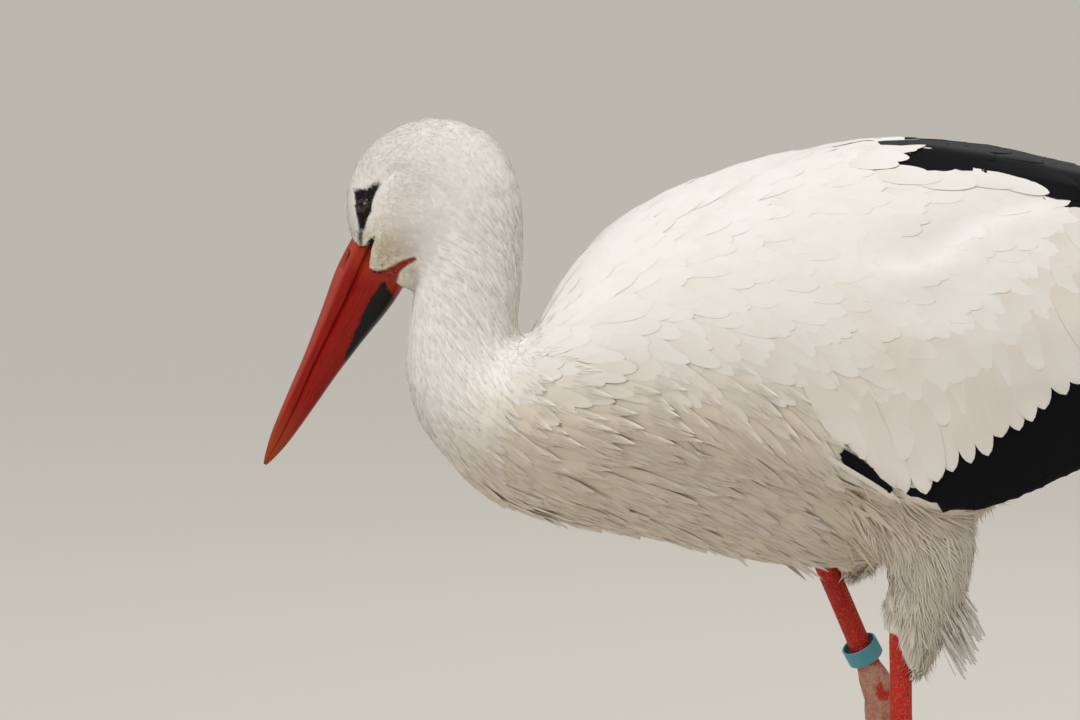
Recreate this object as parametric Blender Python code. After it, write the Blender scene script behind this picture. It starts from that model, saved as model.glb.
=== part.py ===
"""A white stork, life size, walking and looking down: the body as closed solids, one for each named part.

Metres, +Z up. The bird faces -X and its left side is -Y. The floor is Z = 0, and the origin is under the
middle of the bird. Run with: blender --background --python part.py
"""

import math

import bmesh
import bpy
import numpy as np
from mathutils import Matrix, Vector

# ---------------------------------------------------------------- driving dimensions
GAP = 0.0004            # clearance between neighbouring parts
BODY_SIDES = 20         # points round a section of the head, neck and trunk
LIMB_SIDES = 10         # points round a section of a leg or toe
TAIL_SIDES = 16
THIGH_SIDES = 12
RINGS_PER_STATION = 2   # rings from one station of a table to the next

HEAD_YAW = math.radians(-25)    # the head looks a little to the bird's right
YAW_AXIS_X = -0.223             # the head turns about an upright axis in the middle of the neck

LEG_SPREAD = 0.040      # from the midline to the middle of each leg
SHANK_LENGTH = 0.200    # ankle to the root of the toes
SHANK_RADIUS = 0.0062
TIBIA_RADIUS = 0.0082

EYE_RADIUS = 0.0078
EYE_CENTRE = Vector((-0.2925, 0.0168, 0.5965))   # of the right eye, before the head is turned

RING_RADIUS = 0.0130    # leg ring, outer
RING_WALL = 0.0015
RING_HEIGHT = 0.0125
RING_ABOVE_ANKLE = 0.0365
RING_STEPS = 24

# The body from the root of the bill to the rump. Each row is one section across the body: the point on
# the back line, the point on the belly line, the half width, and the share of the head's turn it takes.
# x back, z back, x belly, z belly, half width, turn
BODY_STATIONS = (
    (-0.313, 0.570, -0.272, 0.537, 0.0150, 1.0),   # bill root
    (-0.317, 0.586, -0.268, 0.536, 0.0200, 1.0),   # lores
    (-0.317, 0.605, -0.265, 0.537, 0.0240, 1.0),   # brow
    (-0.310, 0.626, -0.263, 0.540, 0.0270, 1.0),   # forehead
    (-0.289, 0.647, -0.262, 0.543, 0.0290, 1.0),   # crown
    (-0.251, 0.6600, -0.261, 0.546, 0.0310, 1.0),  # hind crown
    (-0.208, 0.650, -0.260, 0.546, 0.0315, 0.95),  # nape
    (-0.187, 0.621, -0.261, 0.541, 0.0310, 0.85),  # hind neck
    (-0.183, 0.588, -0.263, 0.532, 0.0310, 0.65),  # upper neck
    (-0.184, 0.553, -0.266, 0.512, 0.0320, 0.40),  # mid neck
    (-0.187, 0.523, -0.268, 0.486, 0.0345, 0.20),  # lower neck
    (-0.187, 0.506, -0.263, 0.458, 0.0400, 0.05),  # neck foot
    (-0.182, 0.506, -0.250, 0.429, 0.0480, 0.0),   # crop
    (-0.172, 0.522, -0.228, 0.403, 0.0590, 0.0),   # upper breast
    (-0.156, 0.549, -0.198, 0.384, 0.0680, 0.0),   # breast
    (-0.128, 0.582, -0.160, 0.373, 0.0750, 0.0),   # shoulders
    (-0.087, 0.608, -0.115, 0.365, 0.0790, 0.0),   # mantle
    (-0.040, 0.626, -0.066, 0.355, 0.0800, 0.0),   # back
    (0.006, 0.638, -0.016, 0.344, 0.0790, 0.0),    # ribs
    (0.052, 0.640, 0.036, 0.341, 0.0750, 0.0),     # belly
    (0.100, 0.634, 0.090, 0.356, 0.0680, 0.0),     # loins
    (0.150, 0.615, 0.145, 0.382, 0.0580, 0.0),     # rump
    (0.205, 0.590, 0.200, 0.408, 0.0470, 0.0),     # vent
    (0.2555, 0.562, 0.2555, 0.440, 0.0370, 0.0),   # tail root
)
HEAD_TO_NECK = 6.6      # station numbers where the body is parted
NECK_MIDDLE = 9.2
NECK_TO_TRUNK = 12.0
TRUNK_END = 23.0

# The bill, before the head is turned: share of its length, half depth, half width, and how high the line
# between its halves lies, as a share of the half depth.
BILL_TIP = Vector((-0.3832, 0.0, 0.4090))
BILL_ROOT = Vector((-0.2945, 0.0, 0.5535))
BILL_SECTIONS = (
    (0.0, 0.0248, 0.0165, 0.18),
    (0.12, 0.0238, 0.0138, 0.12),
    (0.30, 0.0184, 0.0112, 0.11),
    (0.50, 0.0136, 0.0087, 0.10),
    (0.70, 0.0105, 0.0062, -0.11),
    (0.88, 0.0070, 0.0040, -0.30),
    (0.97, 0.0032, 0.0024, -0.30),
    (1.0, 0.0012, 0.0012, -0.30),
)
BILL_SIDES = 16

# A folded wing, from the shoulder to its tip. Each row is one upright section: x, then y and z of the
# top edge, of the fullest place and of the lower edge, for the right wing, and the thickness.
WING_STATIONS = (
    (-0.118, 0.060, 0.535, 0.0800, 0.492, 0.0755, 0.455, 0.020),
    (-0.095, 0.050, 0.568, 0.0860, 0.498, 0.0800, 0.440, 0.024),
    (-0.050, 0.030, 0.606, 0.0935, 0.505, 0.084, 0.428, 0.028),
    (0.000, 0.014, 0.634, 0.0975, 0.515, 0.086, 0.418, 0.028),
    (0.050, 0.009, 0.6445, 0.0975, 0.520, 0.086, 0.404, 0.028),
    (0.085, 0.0045, 0.6465, 0.096, 0.522, 0.083, 0.392, 0.026),
    (0.130, 0.0030, 0.643, 0.092, 0.522, 0.077, 0.389, 0.024),
    (0.205, 0.0012, 0.626, 0.079, 0.524, 0.060, 0.418, 0.020),
    (0.250, 0.0012, 0.608, 0.066, 0.530, 0.047, 0.452, 0.018),
    (0.300, 0.0014, 0.588, 0.047, 0.536, 0.032, 0.490, 0.015),
    (0.340, 0.0022, 0.569, 0.028, 0.540, 0.020, 0.515, 0.011),
    (0.3694, 0.0040, 0.551, 0.0105, 0.545, 0.009, 0.538, 0.004),
)
WING_ARC = 9           # points along the outside of a wing's section

# Outlines seen from the side, x and z, that part a wing: the black scapulars on top, and the white
# coverts ahead of the black flight feathers.
SCAPULAR_LINE = (
    (0.066, 0.700), (0.066, 0.626), (0.100, 0.616), (0.165, 0.608), (0.205, 0.596), (0.262, 0.560),
)
COVERT_LINE = (
    (0.040, 0.300), (0.040, 0.402), (0.088, 0.396), (0.150, 0.440), (0.215, 0.492), (0.262, 0.560),
)
# How far these outlines reach past the wing: behind its tip, ahead of it, above it and below it.
WING_REACH_X, WING_START_X = 0.45, -0.20
WING_OVER_Z, WING_UNDER_Z = 0.70, 0.30
WING_TIP_Z = 0.545      # where the two black parts meet behind the coverts

# The tail below the wing tips: x, z of its middle, half width, half thickness.
TAIL_STATIONS = (
    (0.2559, 0.501, 0.036, 0.059),
    (0.278, 0.496, 0.036, 0.044),
    (0.302, 0.491, 0.038, 0.026),
    (0.326, 0.488, 0.041, 0.013),
    (0.348, 0.485, 0.042, 0.006),
    (0.364, 0.483, 0.035, 0.0025),
)

# Feathered thighs, from inside the belly down to their hem: x, y and z of the middle, half depth
# along x, half width.
NEAR_THIGH = (
    (0.078, -0.044, 0.420, 0.050, 0.026),
    (0.083, -0.044, 0.385, 0.050, 0.030),
    (0.097, -0.042, 0.355, 0.033, 0.028),
    (0.0970, -0.041, 0.325, 0.0265, 0.021),
    (0.0930, -0.040, 0.303, 0.0215, 0.016),
    (0.0880, -0.040, 0.288, 0.0160, 0.013),
    (0.0870, -0.040, 0.275, 0.0080, 0.0105),
)
FAR_THIGH = (
    (0.020, 0.044, 0.420, 0.048, 0.026),
    (0.028, 0.044, 0.388, 0.046, 0.029),
    (0.044, 0.042, 0.362, 0.032, 0.025),
    (0.050, 0.041, 0.345, 0.022, 0.018),
    (0.045, 0.040, 0.335, 0.013, 0.012),
)

# Legs in side view: hem of the thigh, ankle, root of the toes.
NEAR_ANKLE = Vector((0.079, -LEG_SPREAD, 0.205))
NEAR_SHANK_LEAN = math.radians(11)      # forwards, from the ankle down
NEAR_HEM = Vector((0.0785, -LEG_SPREAD, 0.286))
FAR_ANKLE = Vector((0.0697, LEG_SPREAD, 0.2455))
FAR_SHANK_LEAN = math.radians(7)
FAR_HEM = Vector((0.031, LEG_SPREAD, 0.336))
KNOB_HEIGHT = 0.024     # how far the knob of the ankle swells above the joint

# Toes: name, length with the claw, root radius, turn from straight ahead towards the outside.
TOES = (
    ("middle", 0.082, 0.0062, 0.02),
    ("inner", 0.064, 0.0056, -0.52),
    ("outer", 0.068, 0.0056, 0.48),
    ("hind", 0.036, 0.0048, math.pi + 0.12),
)
CLAW_LENGTH = 0.010
PAD_DEPTH = 0.0065      # from the root of the toes to the sole of a lifted foot
TOE_RINGS = 7
TOE_SIDES = 8


# ---------------------------------------------------------------- helpers
def clear_scene():
    for old in list(bpy.data.objects):
        bpy.data.objects.remove(old)


def material(name, colour, roughness, metallic=0.0):
    made = bpy.data.materials.new(name)
    made.use_nodes = True
    shader = made.node_tree.nodes["Principled BSDF"]
    shader.inputs["Base Color"].default_value = (*colour, 1.0)
    shader.inputs["Roughness"].default_value = roughness
    shader.inputs["Metallic"].default_value = metallic
    return made


def smooth_row(rows, t):
    """The row of a table at station number t, on a Catmull-Rom curve through the rows."""
    rows = np.array(rows, float)
    last = len(rows) - 1
    i = min(int(t), last - 1)
    f = t - i
    before = rows[i - 1] if i > 0 else 2 * rows[0] - rows[1]
    after = rows[i + 2] if i + 2 <= last else 2 * rows[last] - rows[last - 1]
    a, b = rows[i], rows[i + 1]
    return 0.5 * (2 * a + (b - before) * f + (2 * before - 5 * a + 4 * b - after) * f**2
                  + (3 * a - before - 3 * b + after) * f**3)


def stations(count, per_step):
    """Station numbers from 0 to count - 1, per_step to each step."""
    steps = (count - 1) * per_step
    return [k / per_step for k in range(steps + 1)]


def solid(name, rings, finish):
    """A closed object lofted through rings, which are equal lists of points; both ends are capped."""
    mesh = bmesh.new()
    loops = [[mesh.verts.new(p) for p in ring] for ring in rings]
    sides = len(rings[0])
    for a, b in zip(loops, loops[1:]):
        for k in range(sides):
            mesh.faces.new((a[k], a[(k + 1) % sides], b[(k + 1) % sides], b[k]))
    mesh.faces.new(reversed(loops[0]))
    mesh.faces.new(loops[-1])
    bmesh.ops.recalc_face_normals(mesh, faces=mesh.faces)
    bmesh.ops.triangulate(mesh, faces=mesh.faces)
    data = bpy.data.meshes.new(name)
    mesh.to_mesh(data)
    mesh.free()
    data.materials.append(finish)
    data.shade_smooth()
    data.set_sharp_from_angle(angle=math.radians(50))
    made = bpy.data.objects.new(name, data)
    bpy.context.scene.collection.objects.link(made)
    return made


def turned(point, share=1.0):
    """A point of the head or neck after its share of the head's turn."""
    pivot = Vector((YAW_AXIS_X, 0, 0))
    return pivot + Matrix.Rotation(HEAD_YAW * share, 3, "Z") @ (Vector(point) - pivot)


def grown(source, amount, name):
    """A cutter: source's shape, larger by amount all round."""
    data = source.data.copy()
    for vertex, normal in zip(data.vertices, [v.normal.copy() for v in data.vertices]):
        vertex.co += normal * amount
    return as_cutter(bpy.data.objects.new(name, data))


def grown_rings(name, rings):
    """A cutter lofted through rings and grown by the gap."""
    shape = as_cutter(solid(name + "_shape", rings, PLAIN))
    return grown(shape, GAP, name)


def as_cutter(made):
    if made.name not in bpy.context.scene.collection.objects:
        bpy.context.scene.collection.objects.link(made)
    made.hide_render = True
    made.display_type = "WIRE"
    return made


def boolean(target, cutter, operation="DIFFERENCE"):
    step = target.modifiers.new(operation.lower(), "BOOLEAN")
    step.operation = operation
    step.solver = "EXACT"
    step.object = cutter


def prism(name, outline, y_low, y_high):
    """A cutter with this outline in X and Z."""
    rings = [[(x, y, z) for x, z in outline] for y in (y_low, y_high)]
    return as_cutter(solid(name, rings, PLAIN))


# ---------------------------------------------------------------- head, neck and trunk
def body_ring(t, shift=0.0):
    """One section of the body. shift moves it along the body, square to its own plane."""
    x_back, z_back, x_belly, z_belly, half_width, turn = smooth_row(BODY_STATIONS, t)
    back, belly = Vector((x_back, 0, z_back)), Vector((x_belly, 0, z_belly))
    middle, rise = (back + belly) / 2, (back - belly) / 2
    along = Vector((rise.z, 0, -rise.x)).normalized()
    ring = []
    for k in range(BODY_SIDES):
        angle = 2 * math.pi * k / BODY_SIDES
        lift = math.cos(angle)
        side = math.sin(angle) * (1 - 0.10 * lift)
        p = middle + rise * lift + Vector((0, half_width * side, 0)) + along * shift
        ring.append(turned(p, turn))
    return ring


def body_solid(name, start, end, finish, open_start=False, open_end=False):
    """The body between two station numbers, short of them by half a gap where it has a neighbour."""
    inner = [t for t in stations(len(BODY_STATIONS), RINGS_PER_STATION) if start + 0.12 < t < end - 0.12]
    rings = [body_ring(start, 0 if open_start else GAP / 2)]
    rings += [body_ring(t) for t in inner]
    rings.append(body_ring(end, 0 if open_end else -GAP / 2))
    return solid(name, rings, finish)


def make_body():
    head = body_solid("head", 0.0, HEAD_TO_NECK, WHITE, open_start=True)
    body_solid("neck_upper", HEAD_TO_NECK, NECK_MIDDLE, WHITE)
    body_solid("neck_lower", NECK_MIDDLE, NECK_TO_TRUNK, WHITE)
    trunk = body_solid("trunk", NECK_TO_TRUNK, TRUNK_END, WHITE, open_end=True)
    return head, trunk


def make_eyes(head):
    for name, side in (("eye_left", -1), ("eye_right", 1)):
        centre = turned((EYE_CENTRE.x, side * EYE_CENTRE.y, EYE_CENTRE.z))
        mesh = bmesh.new()
        bmesh.ops.create_icosphere(mesh, subdivisions=2, radius=EYE_RADIUS)
        bmesh.ops.translate(mesh, verts=mesh.verts, vec=centre)
        data = bpy.data.meshes.new(name)
        mesh.to_mesh(data)
        mesh.free()
        data.materials.append(EYE)
        data.shade_smooth()
        eye = bpy.data.objects.new(name, data)
        bpy.context.scene.collection.objects.link(eye)
        boolean(head, grown(eye, GAP, name + "_socket"))


def bill_ring(share, half_depth, half_width, seam, upper):
    """Half a section of the bill, flat where the two halves close on each other."""
    axis = (BILL_TIP - BILL_ROOT).normalized()
    up = Vector((axis.z, 0, -axis.x))
    if up.x > 0:
        up = -up
    middle = BILL_ROOT.lerp(BILL_TIP, share)
    split = seam * half_depth
    ring = []
    for k in range(BILL_SIDES // 2 + 1):
        angle = math.pi * k / (BILL_SIDES // 2)
        height = math.sin(angle) ** 0.9
        if upper:
            rise = split + GAP / 2 + (half_depth - split) * height
        else:
            rise = split - GAP / 2 - (half_depth + split) * height
        spread = math.cos(angle)
        ring.append(turned(middle + up * rise + Vector((0, half_width * spread, 0))))
    return ring if upper else ring[::-1]


def make_bill(head):
    root_cap = grown(head, GAP, "bill_root_clearance")
    for name, upper in (("bill_upper", True), ("bill_lower", False)):
        count = len(BILL_SECTIONS)
        rings = [bill_ring(*smooth_row(BILL_SECTIONS, t), upper) for t in stations(count, RINGS_PER_STATION)]
        bill = solid(name, rings, BILL_RED)
        boolean(bill, root_cap)


# ---------------------------------------------------------------- wings and tail
def wing_ring(t, side):
    """A section of a folded wing: its outside from top edge to lower edge, then its inside."""
    x, y_top, z_top, y_full, z_full, y_low, z_low, thick = smooth_row(WING_STATIONS, t)
    top, full, low = np.array((y_top, z_top)), np.array((y_full, z_full)), np.array((y_low, z_low))
    corner = np.array((y_full, z_top))
    outside = []
    for k in range(WING_ARC):
        f = k / (WING_ARC - 1)
        if f < 0.6:
            g = f / 0.6
            p = (1 - g) ** 2 * top + 2 * g * (1 - g) * (0.25 * top + 0.75 * corner) + g**2 * full
        else:
            g = (f - 0.6) / 0.4
            bend = np.array((y_full, (z_full + z_low) / 2))
            p = (1 - g) ** 2 * full + 2 * g * (1 - g) * bend + g**2 * low
        outside.append(p)
    outside = np.array(outside)
    slope = np.gradient(outside, axis=0)
    inward = np.stack([slope[:, 1], -slope[:, 0]], 1)
    inward /= np.linalg.norm(inward, axis=1)[:, None]
    fade = np.sin(np.linspace(0.06, 0.94, WING_ARC) * math.pi) ** 0.35
    inside = outside + inward * (thick * fade)[:, None]
    inside[:, 0] = np.maximum(inside[:, 0], GAP)
    ring = [(x, side * y, z) for y, z in [*outside, *inside[::-1]]]
    return ring


def shifted(line, by):
    """An outline moved square to itself, to leave a gap beside it."""
    line = np.array(line, float)
    slope = np.gradient(line, axis=0)
    square = np.stack([-slope[:, 1], slope[:, 0]], 1)
    square /= np.linalg.norm(square, axis=1)[:, None]
    return [tuple(p) for p in line + square * by]


def make_wing(word, side, trunk_clearance, others):
    y_low, y_high = sorted((side * -0.05, side * 0.2))
    tip, over, under = (WING_REACH_X, WING_TIP_Z), (WING_REACH_X, WING_OVER_Z), (WING_REACH_X, WING_UNDER_Z)
    tip_below = (WING_REACH_X, WING_TIP_Z - 2 * GAP)
    pieces = (
        ("scapulars", FLIGHT_BLACK, [*shifted(SCAPULAR_LINE, GAP), tip, over]),
        ("flight", FLIGHT_BLACK, [*shifted(COVERT_LINE, -GAP), tip_below, under]),
        ("coverts", WHITE, [(WING_START_X, WING_OVER_Z), *SCAPULAR_LINE, *COVERT_LINE[:-1][::-1],
                            (WING_START_X, WING_UNDER_Z)]),
    )
    rings = [wing_ring(t, side) for t in stations(len(WING_STATIONS), RINGS_PER_STATION)]
    for kind, finish, outline in pieces:
        name = f"wing_{word}_{kind}"
        wing = solid(name, rings, finish)
        boolean(wing, prism(f"{name}_outline", outline, y_low, y_high), "INTERSECT")
        boolean(wing, trunk_clearance)
        for other in others:
            boolean(wing, other)
    return grown_rings(f"wing_{word}_clearance", rings)


def make_tail():
    rings = []
    for t in stations(len(TAIL_STATIONS), RINGS_PER_STATION):
        x, z, half_width, half_thick = smooth_row(TAIL_STATIONS, t)
        angles = [2 * math.pi * k / TAIL_SIDES for k in range(TAIL_SIDES)]
        rings.append([(x, half_width * math.sin(a), z + half_thick * math.cos(a)) for a in angles])
    return solid("tail", rings, WHITE)


# ---------------------------------------------------------------- legs
def limb_ring(centre, along, half_depth, half_width, floor=None, sides=LIMB_SIDES):
    """A round section square to along, flat side down, cut off flat at the height floor if one is given."""
    along = Vector(along).normalized()
    across = along.cross(Vector((0, 0, 1))) if abs(along.z) < 0.8 else Vector((0, 1, 0))
    across = (across - along * across.dot(along)).normalized()
    depth = along.cross(across)
    ring = []
    for k in range(sides):
        angle = 2 * math.pi * (k + 0.5) / sides
        p = centre + depth * (half_depth * math.cos(angle)) + across * (half_width * math.sin(angle))
        if floor is not None:
            p.z = max(p.z, floor)
        ring.append(p)
    return ring


def limb(name, path, finish, floor=None, sides=LIMB_SIDES):
    """A limb through path: centre, half depth and half width at each place."""
    rings = []
    for i, (centre, half_depth, half_width) in enumerate(path):
        ahead = Vector(path[min(i + 1, len(path) - 1)][0])
        behind = Vector(path[max(i - 1, 0)][0])
        rings.append(limb_ring(centre, ahead - behind, half_depth, half_width, floor, sides))
    return solid(name, rings, finish)


def thigh(name, rows, clearances):
    rings = []
    for t in stations(len(rows), RINGS_PER_STATION):
        x, y, z, half_depth, half_width = smooth_row(rows, t)
        angles = [2 * math.pi * k / THIGH_SIDES for k in range(THIGH_SIDES)]
        rings.append([(x + half_depth * math.cos(a), y + half_width * math.sin(a), z) for a in angles])
    made = solid(name, rings, WHITE)
    for clearance in clearances:
        boolean(made, clearance)
    return made


def make_shin(word, hem, ankle):
    """The bare length above the ankle."""
    start = hem + (ankle - hem).normalized() * GAP
    end = ankle + (hem - ankle).normalized() * KNOB_HEIGHT
    path = [(start.lerp(end, f), TIBIA_RADIUS * (1 + grow), 0.92 * TIBIA_RADIUS * (1 + grow))
            for f, grow in ((0.0, 0.04), (0.3, 0.0), (0.7, 0.0), (0.9, 0.04), (1.0, 0.10))]
    return limb(f"shin_{word}", path, LEG_RED)


def make_shank(word, hem, ankle, lean):
    """The ankle knob and the shank below it, down to the root of the toes. Returns the toe root."""
    down = Vector((-math.sin(lean), 0, -math.cos(lean)))
    up = (hem - ankle).normalized()
    root = ankle + down * SHANK_LENGTH
    path = [
        (ankle + up * (KNOB_HEIGHT - GAP), 0.0092, 0.0084),
        (ankle + up * 0.018, 0.0110, 0.0094),
        (ankle + up * 0.009, 0.0124, 0.0101),
        (ankle, 0.0132, 0.0104),
        (ankle + down * 0.010, 0.0122, 0.0096),
        (ankle + down * 0.022, 0.0094, 0.0080),
        (ankle + down * 0.040, SHANK_RADIUS * 1.15, SHANK_RADIUS),
        (ankle + down * 0.100, SHANK_RADIUS, SHANK_RADIUS * 0.86),
        (ankle + down * 0.165, SHANK_RADIUS * 1.02, SHANK_RADIUS * 0.92),
        (ankle + down * (SHANK_LENGTH - 0.008), SHANK_RADIUS * 1.2, SHANK_RADIUS * 1.15),
    ]
    limb(f"shank_{word}", path, LEG_RED)
    return root


def toe_path(root, length, radius, heading, tiptoe):
    """Centre, half depth and half width along a toe. On tiptoe it comes down steeply, then lies flat."""
    ahead = Vector((-math.cos(heading), math.sin(heading), 0))
    rows = []
    for share in np.linspace(0, 1, TOE_RINGS):
        knuckle = 1 + 0.13 * math.cos(share * math.pi * 6)
        r = radius * (1 - 0.45 * share) * knuckle
        if tiptoe:
            bend = min(share / 0.62, 1.0)
            reach = length * (0.62 * 0.78 * bend + max(share - 0.62, 0) * 0.97)
            drop = (root.z - r * 0.9) * (bend * bend * (3 - 2 * bend) * 0.5 + 0.5 * bend)
            centre = root + ahead * reach - Vector((0, 0, drop))
        else:
            rest = r * 0.88
            fall = min(share / 0.14, 1.0)
            centre = root + ahead * (length * share)
            centre.z = root.z + (rest - root.z) * fall
        rows.append((centre, r, r * 1.05))
    return rows


def make_foot(word, root, side, tiptoe):
    """Toes and pad as one solid, and a claw at the end of each toe."""
    sole = PAD_DEPTH if tiptoe else root.z
    pad_path = [(root + Vector((dx, 0, dz)), r, r * 1.1) for dx, dz, r in
                ((0.0016, 0.0074, 0.0072), (0.0008, 0.003, 0.0086), (0, -0.002, 0.0092),
                 (-0.001, -sole, 0.0080))]
    foot = limb(f"foot_{word}", pad_path, LEG_RED, floor=0.0)
    for name, length, radius, turn in TOES:
        hind = name == "hind"
        heading = turn if side > 0 else -turn
        lifted = tiptoe and not hind
        soft = length - CLAW_LENGTH
        rows = toe_path(root, soft, radius, heading, lifted)
        if tiptoe and hind:
            back = Vector((-math.cos(heading), math.sin(heading), 0))
            rows = [(root + back * (soft * s) - Vector((0, 0, 0.4 * soft * s * s)), r, w)
                    for s, (_, r, w) in zip(np.linspace(0, 1, TOE_RINGS), rows)]
        flat = None if tiptoe and hind else 0.0
        toe = as_cutter(limb(f"toe_{word}_{name}_shape", rows, LEG_RED, floor=flat, sides=TOE_SIDES))
        boolean(foot, toe, "UNION")
        tip, before = rows[-1][0], rows[-2][0]
        make_claw(f"claw_{word}_{name}", tip, tip - before, rows[-1][1], flat)
    return foot


def make_claw(name, tip, along, radius, floor):
    along = Vector(along).normalized()
    start = tip + along * GAP
    path = [(start, radius * 0.92, radius * 0.80)]
    for share, size in ((0.35, 0.85), (0.7, 0.55), (1.0, 0.18)):
        centre = start + along * (CLAW_LENGTH * share)
        centre.z -= radius * (0.45 * share) if floor is None else 0.30 * radius * share
        path.append((centre, radius * size, radius * size * 0.9))
    limb(name, path, CLAW, floor=floor, sides=TOE_SIDES)


def make_leg_ring(hem, ankle):
    """The ring hangs loose and tilted round the shin, just above the knob of the ankle."""
    up = (hem - ankle).normalized()
    lean = (up + Vector((-0.10, -0.34, 0.0))).normalized()
    middle = ankle + up * RING_ABOVE_ANKLE
    across = lean.cross(Vector((0, 1, 0))).normalized()
    depth = lean.cross(across)
    inner = RING_RADIUS - RING_WALL
    profile = ((RING_RADIUS, 0.5), (RING_RADIUS, -0.5), (inner, -0.5), (inner, 0.5))
    mesh = bmesh.new()
    loops = []
    for k in range(RING_STEPS):
        angle = 2 * math.pi * k / RING_STEPS
        out = across * math.cos(angle) + depth * math.sin(angle)
        loops.append([mesh.verts.new(middle + out * r + lean * (h * RING_HEIGHT)) for r, h in profile])
    for k in range(RING_STEPS):
        a, b = loops[k], loops[(k + 1) % RING_STEPS]
        for j in range(len(profile)):
            mesh.faces.new((a[j], a[(j + 1) % 4], b[(j + 1) % 4], b[j]))
    bmesh.ops.recalc_face_normals(mesh, faces=mesh.faces)
    data = bpy.data.meshes.new("leg_ring")
    mesh.to_mesh(data)
    mesh.free()
    data.materials.append(RING_BLUE)
    data.shade_smooth()
    data.set_sharp_from_angle(angle=math.radians(40))
    bpy.context.scene.collection.objects.link(bpy.data.objects.new("leg_ring", data))


def make_legs(trunk_clearance, wing_clearances):
    legs = (
        ("left", NEAR_THIGH, NEAR_HEM, NEAR_ANKLE, NEAR_SHANK_LEAN, -1, False),
        ("right", FAR_THIGH, FAR_HEM, FAR_ANKLE, FAR_SHANK_LEAN, 1, True),
    )
    for word, rows, hem, ankle, lean, side, tiptoe in legs:
        shin = make_shin(word, hem + (hem - ankle).normalized() * 0.012, ankle)
        made = thigh(f"thigh_{word}", rows, [trunk_clearance, wing_clearances[word]])
        boolean(made, grown(shin, GAP, f"shin_{word}_clearance"))
        root = make_shank(word, hem, ankle, lean)
        make_foot(word, root, side, tiptoe)
    make_leg_ring(FAR_HEM, FAR_ANKLE)


clear_scene()
WHITE = material("white_plumage", (0.86, 0.84, 0.80), 0.85)
FLIGHT_BLACK = material("black_plumage", (0.015, 0.015, 0.018), 0.55)
BILL_RED = material("bill", (0.60, 0.05, 0.03), 0.35)
LEG_RED = material("leg_skin", (0.62, 0.07, 0.04), 0.55)
CLAW = material("claw", (0.16, 0.10, 0.09), 0.45)
EYE = material("eye", (0.02, 0.015, 0.012), 0.1)
RING_BLUE = material("ring", (0.05, 0.35, 0.42), 0.4)
PLAIN = material("cutter", (0.5, 0.5, 0.5), 0.5)


def main():
    head, trunk = make_body()
    make_eyes(head)
    make_bill(head)
    clearance = grown(trunk, GAP, "trunk_clearance")
    tail_clearance = grown(make_tail(), GAP, "tail_clearance")
    wings = {word: make_wing(word, side, clearance, [tail_clearance])
             for word, side in (("left", -1), ("right", 1))}
    make_legs(clearance, wings)


main()
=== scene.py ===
"""A white stork, dressed: one skin under a coat of overlapping feathers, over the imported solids.

Metres, +Z up. The bird faces -X and its left side is -Y.
"""
import math
from contextlib import contextmanager
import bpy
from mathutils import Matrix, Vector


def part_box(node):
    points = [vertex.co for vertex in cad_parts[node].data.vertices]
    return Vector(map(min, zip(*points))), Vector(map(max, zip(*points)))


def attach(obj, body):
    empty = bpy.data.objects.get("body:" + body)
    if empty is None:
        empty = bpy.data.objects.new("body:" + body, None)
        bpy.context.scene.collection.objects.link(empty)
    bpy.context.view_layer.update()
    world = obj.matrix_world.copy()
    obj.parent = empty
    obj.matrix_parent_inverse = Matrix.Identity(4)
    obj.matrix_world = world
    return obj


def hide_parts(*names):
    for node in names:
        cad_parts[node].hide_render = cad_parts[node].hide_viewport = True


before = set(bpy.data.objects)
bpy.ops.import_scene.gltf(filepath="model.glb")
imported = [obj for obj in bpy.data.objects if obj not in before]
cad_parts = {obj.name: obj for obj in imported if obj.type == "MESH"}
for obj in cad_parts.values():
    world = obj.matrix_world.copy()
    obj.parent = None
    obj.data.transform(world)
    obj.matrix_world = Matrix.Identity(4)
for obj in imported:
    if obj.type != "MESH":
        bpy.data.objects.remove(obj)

from types import SimpleNamespace

import bmesh
import bpy
import numpy as np
from mathutils import Matrix, Vector, noise as lump_noise
from mathutils.bvhtree import BVHTree

for spare in ("Cube", "Light", "Camera"):
    if spare in bpy.data.objects:
        bpy.data.objects.remove(bpy.data.objects[spare])
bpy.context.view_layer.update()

BODY = "root"
SIDES = (("left", -1), ("right", 1))
FLESH = ("head", "neck_upper", "neck_lower", "trunk", "tail", "thigh_left", "thigh_right",
         "wing_left_coverts", "wing_right_coverts", "wing_left_scapulars", "wing_right_scapulars",
         "wing_left_flight", "wing_right_flight")
SKIN_GRAIN, LEG_GRAIN, CLAW_GRAIN = 0.0035, 0.0011, 0.0005     # size of the faces
WELD = 0.00002          # points nearer than this are one
TUFT_PATCH = 0.003      # share of the colour map that one tuft takes

# The coat, zone by zone. A feather's depth is how far its tip stands off the skin.
COAT = {
    # zone: depth, length, width
    "head": (0.0011, 0.0078, 0.0013),
    "neck": (0.0013, 0.024, 0.0026),
    "breast": (0.0052, 0.052, 0.0110),
    "back": (0.0012, 0.042, 0.0170),
    "belly": (0.0052, 0.054, 0.0110),
    "thigh": (0.0044, 0.034, 0.0036),
    "wing": (0.0012, 0.040, 0.0170),
    "tail": (0.0016, 0.046, 0.0170),
}
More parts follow.
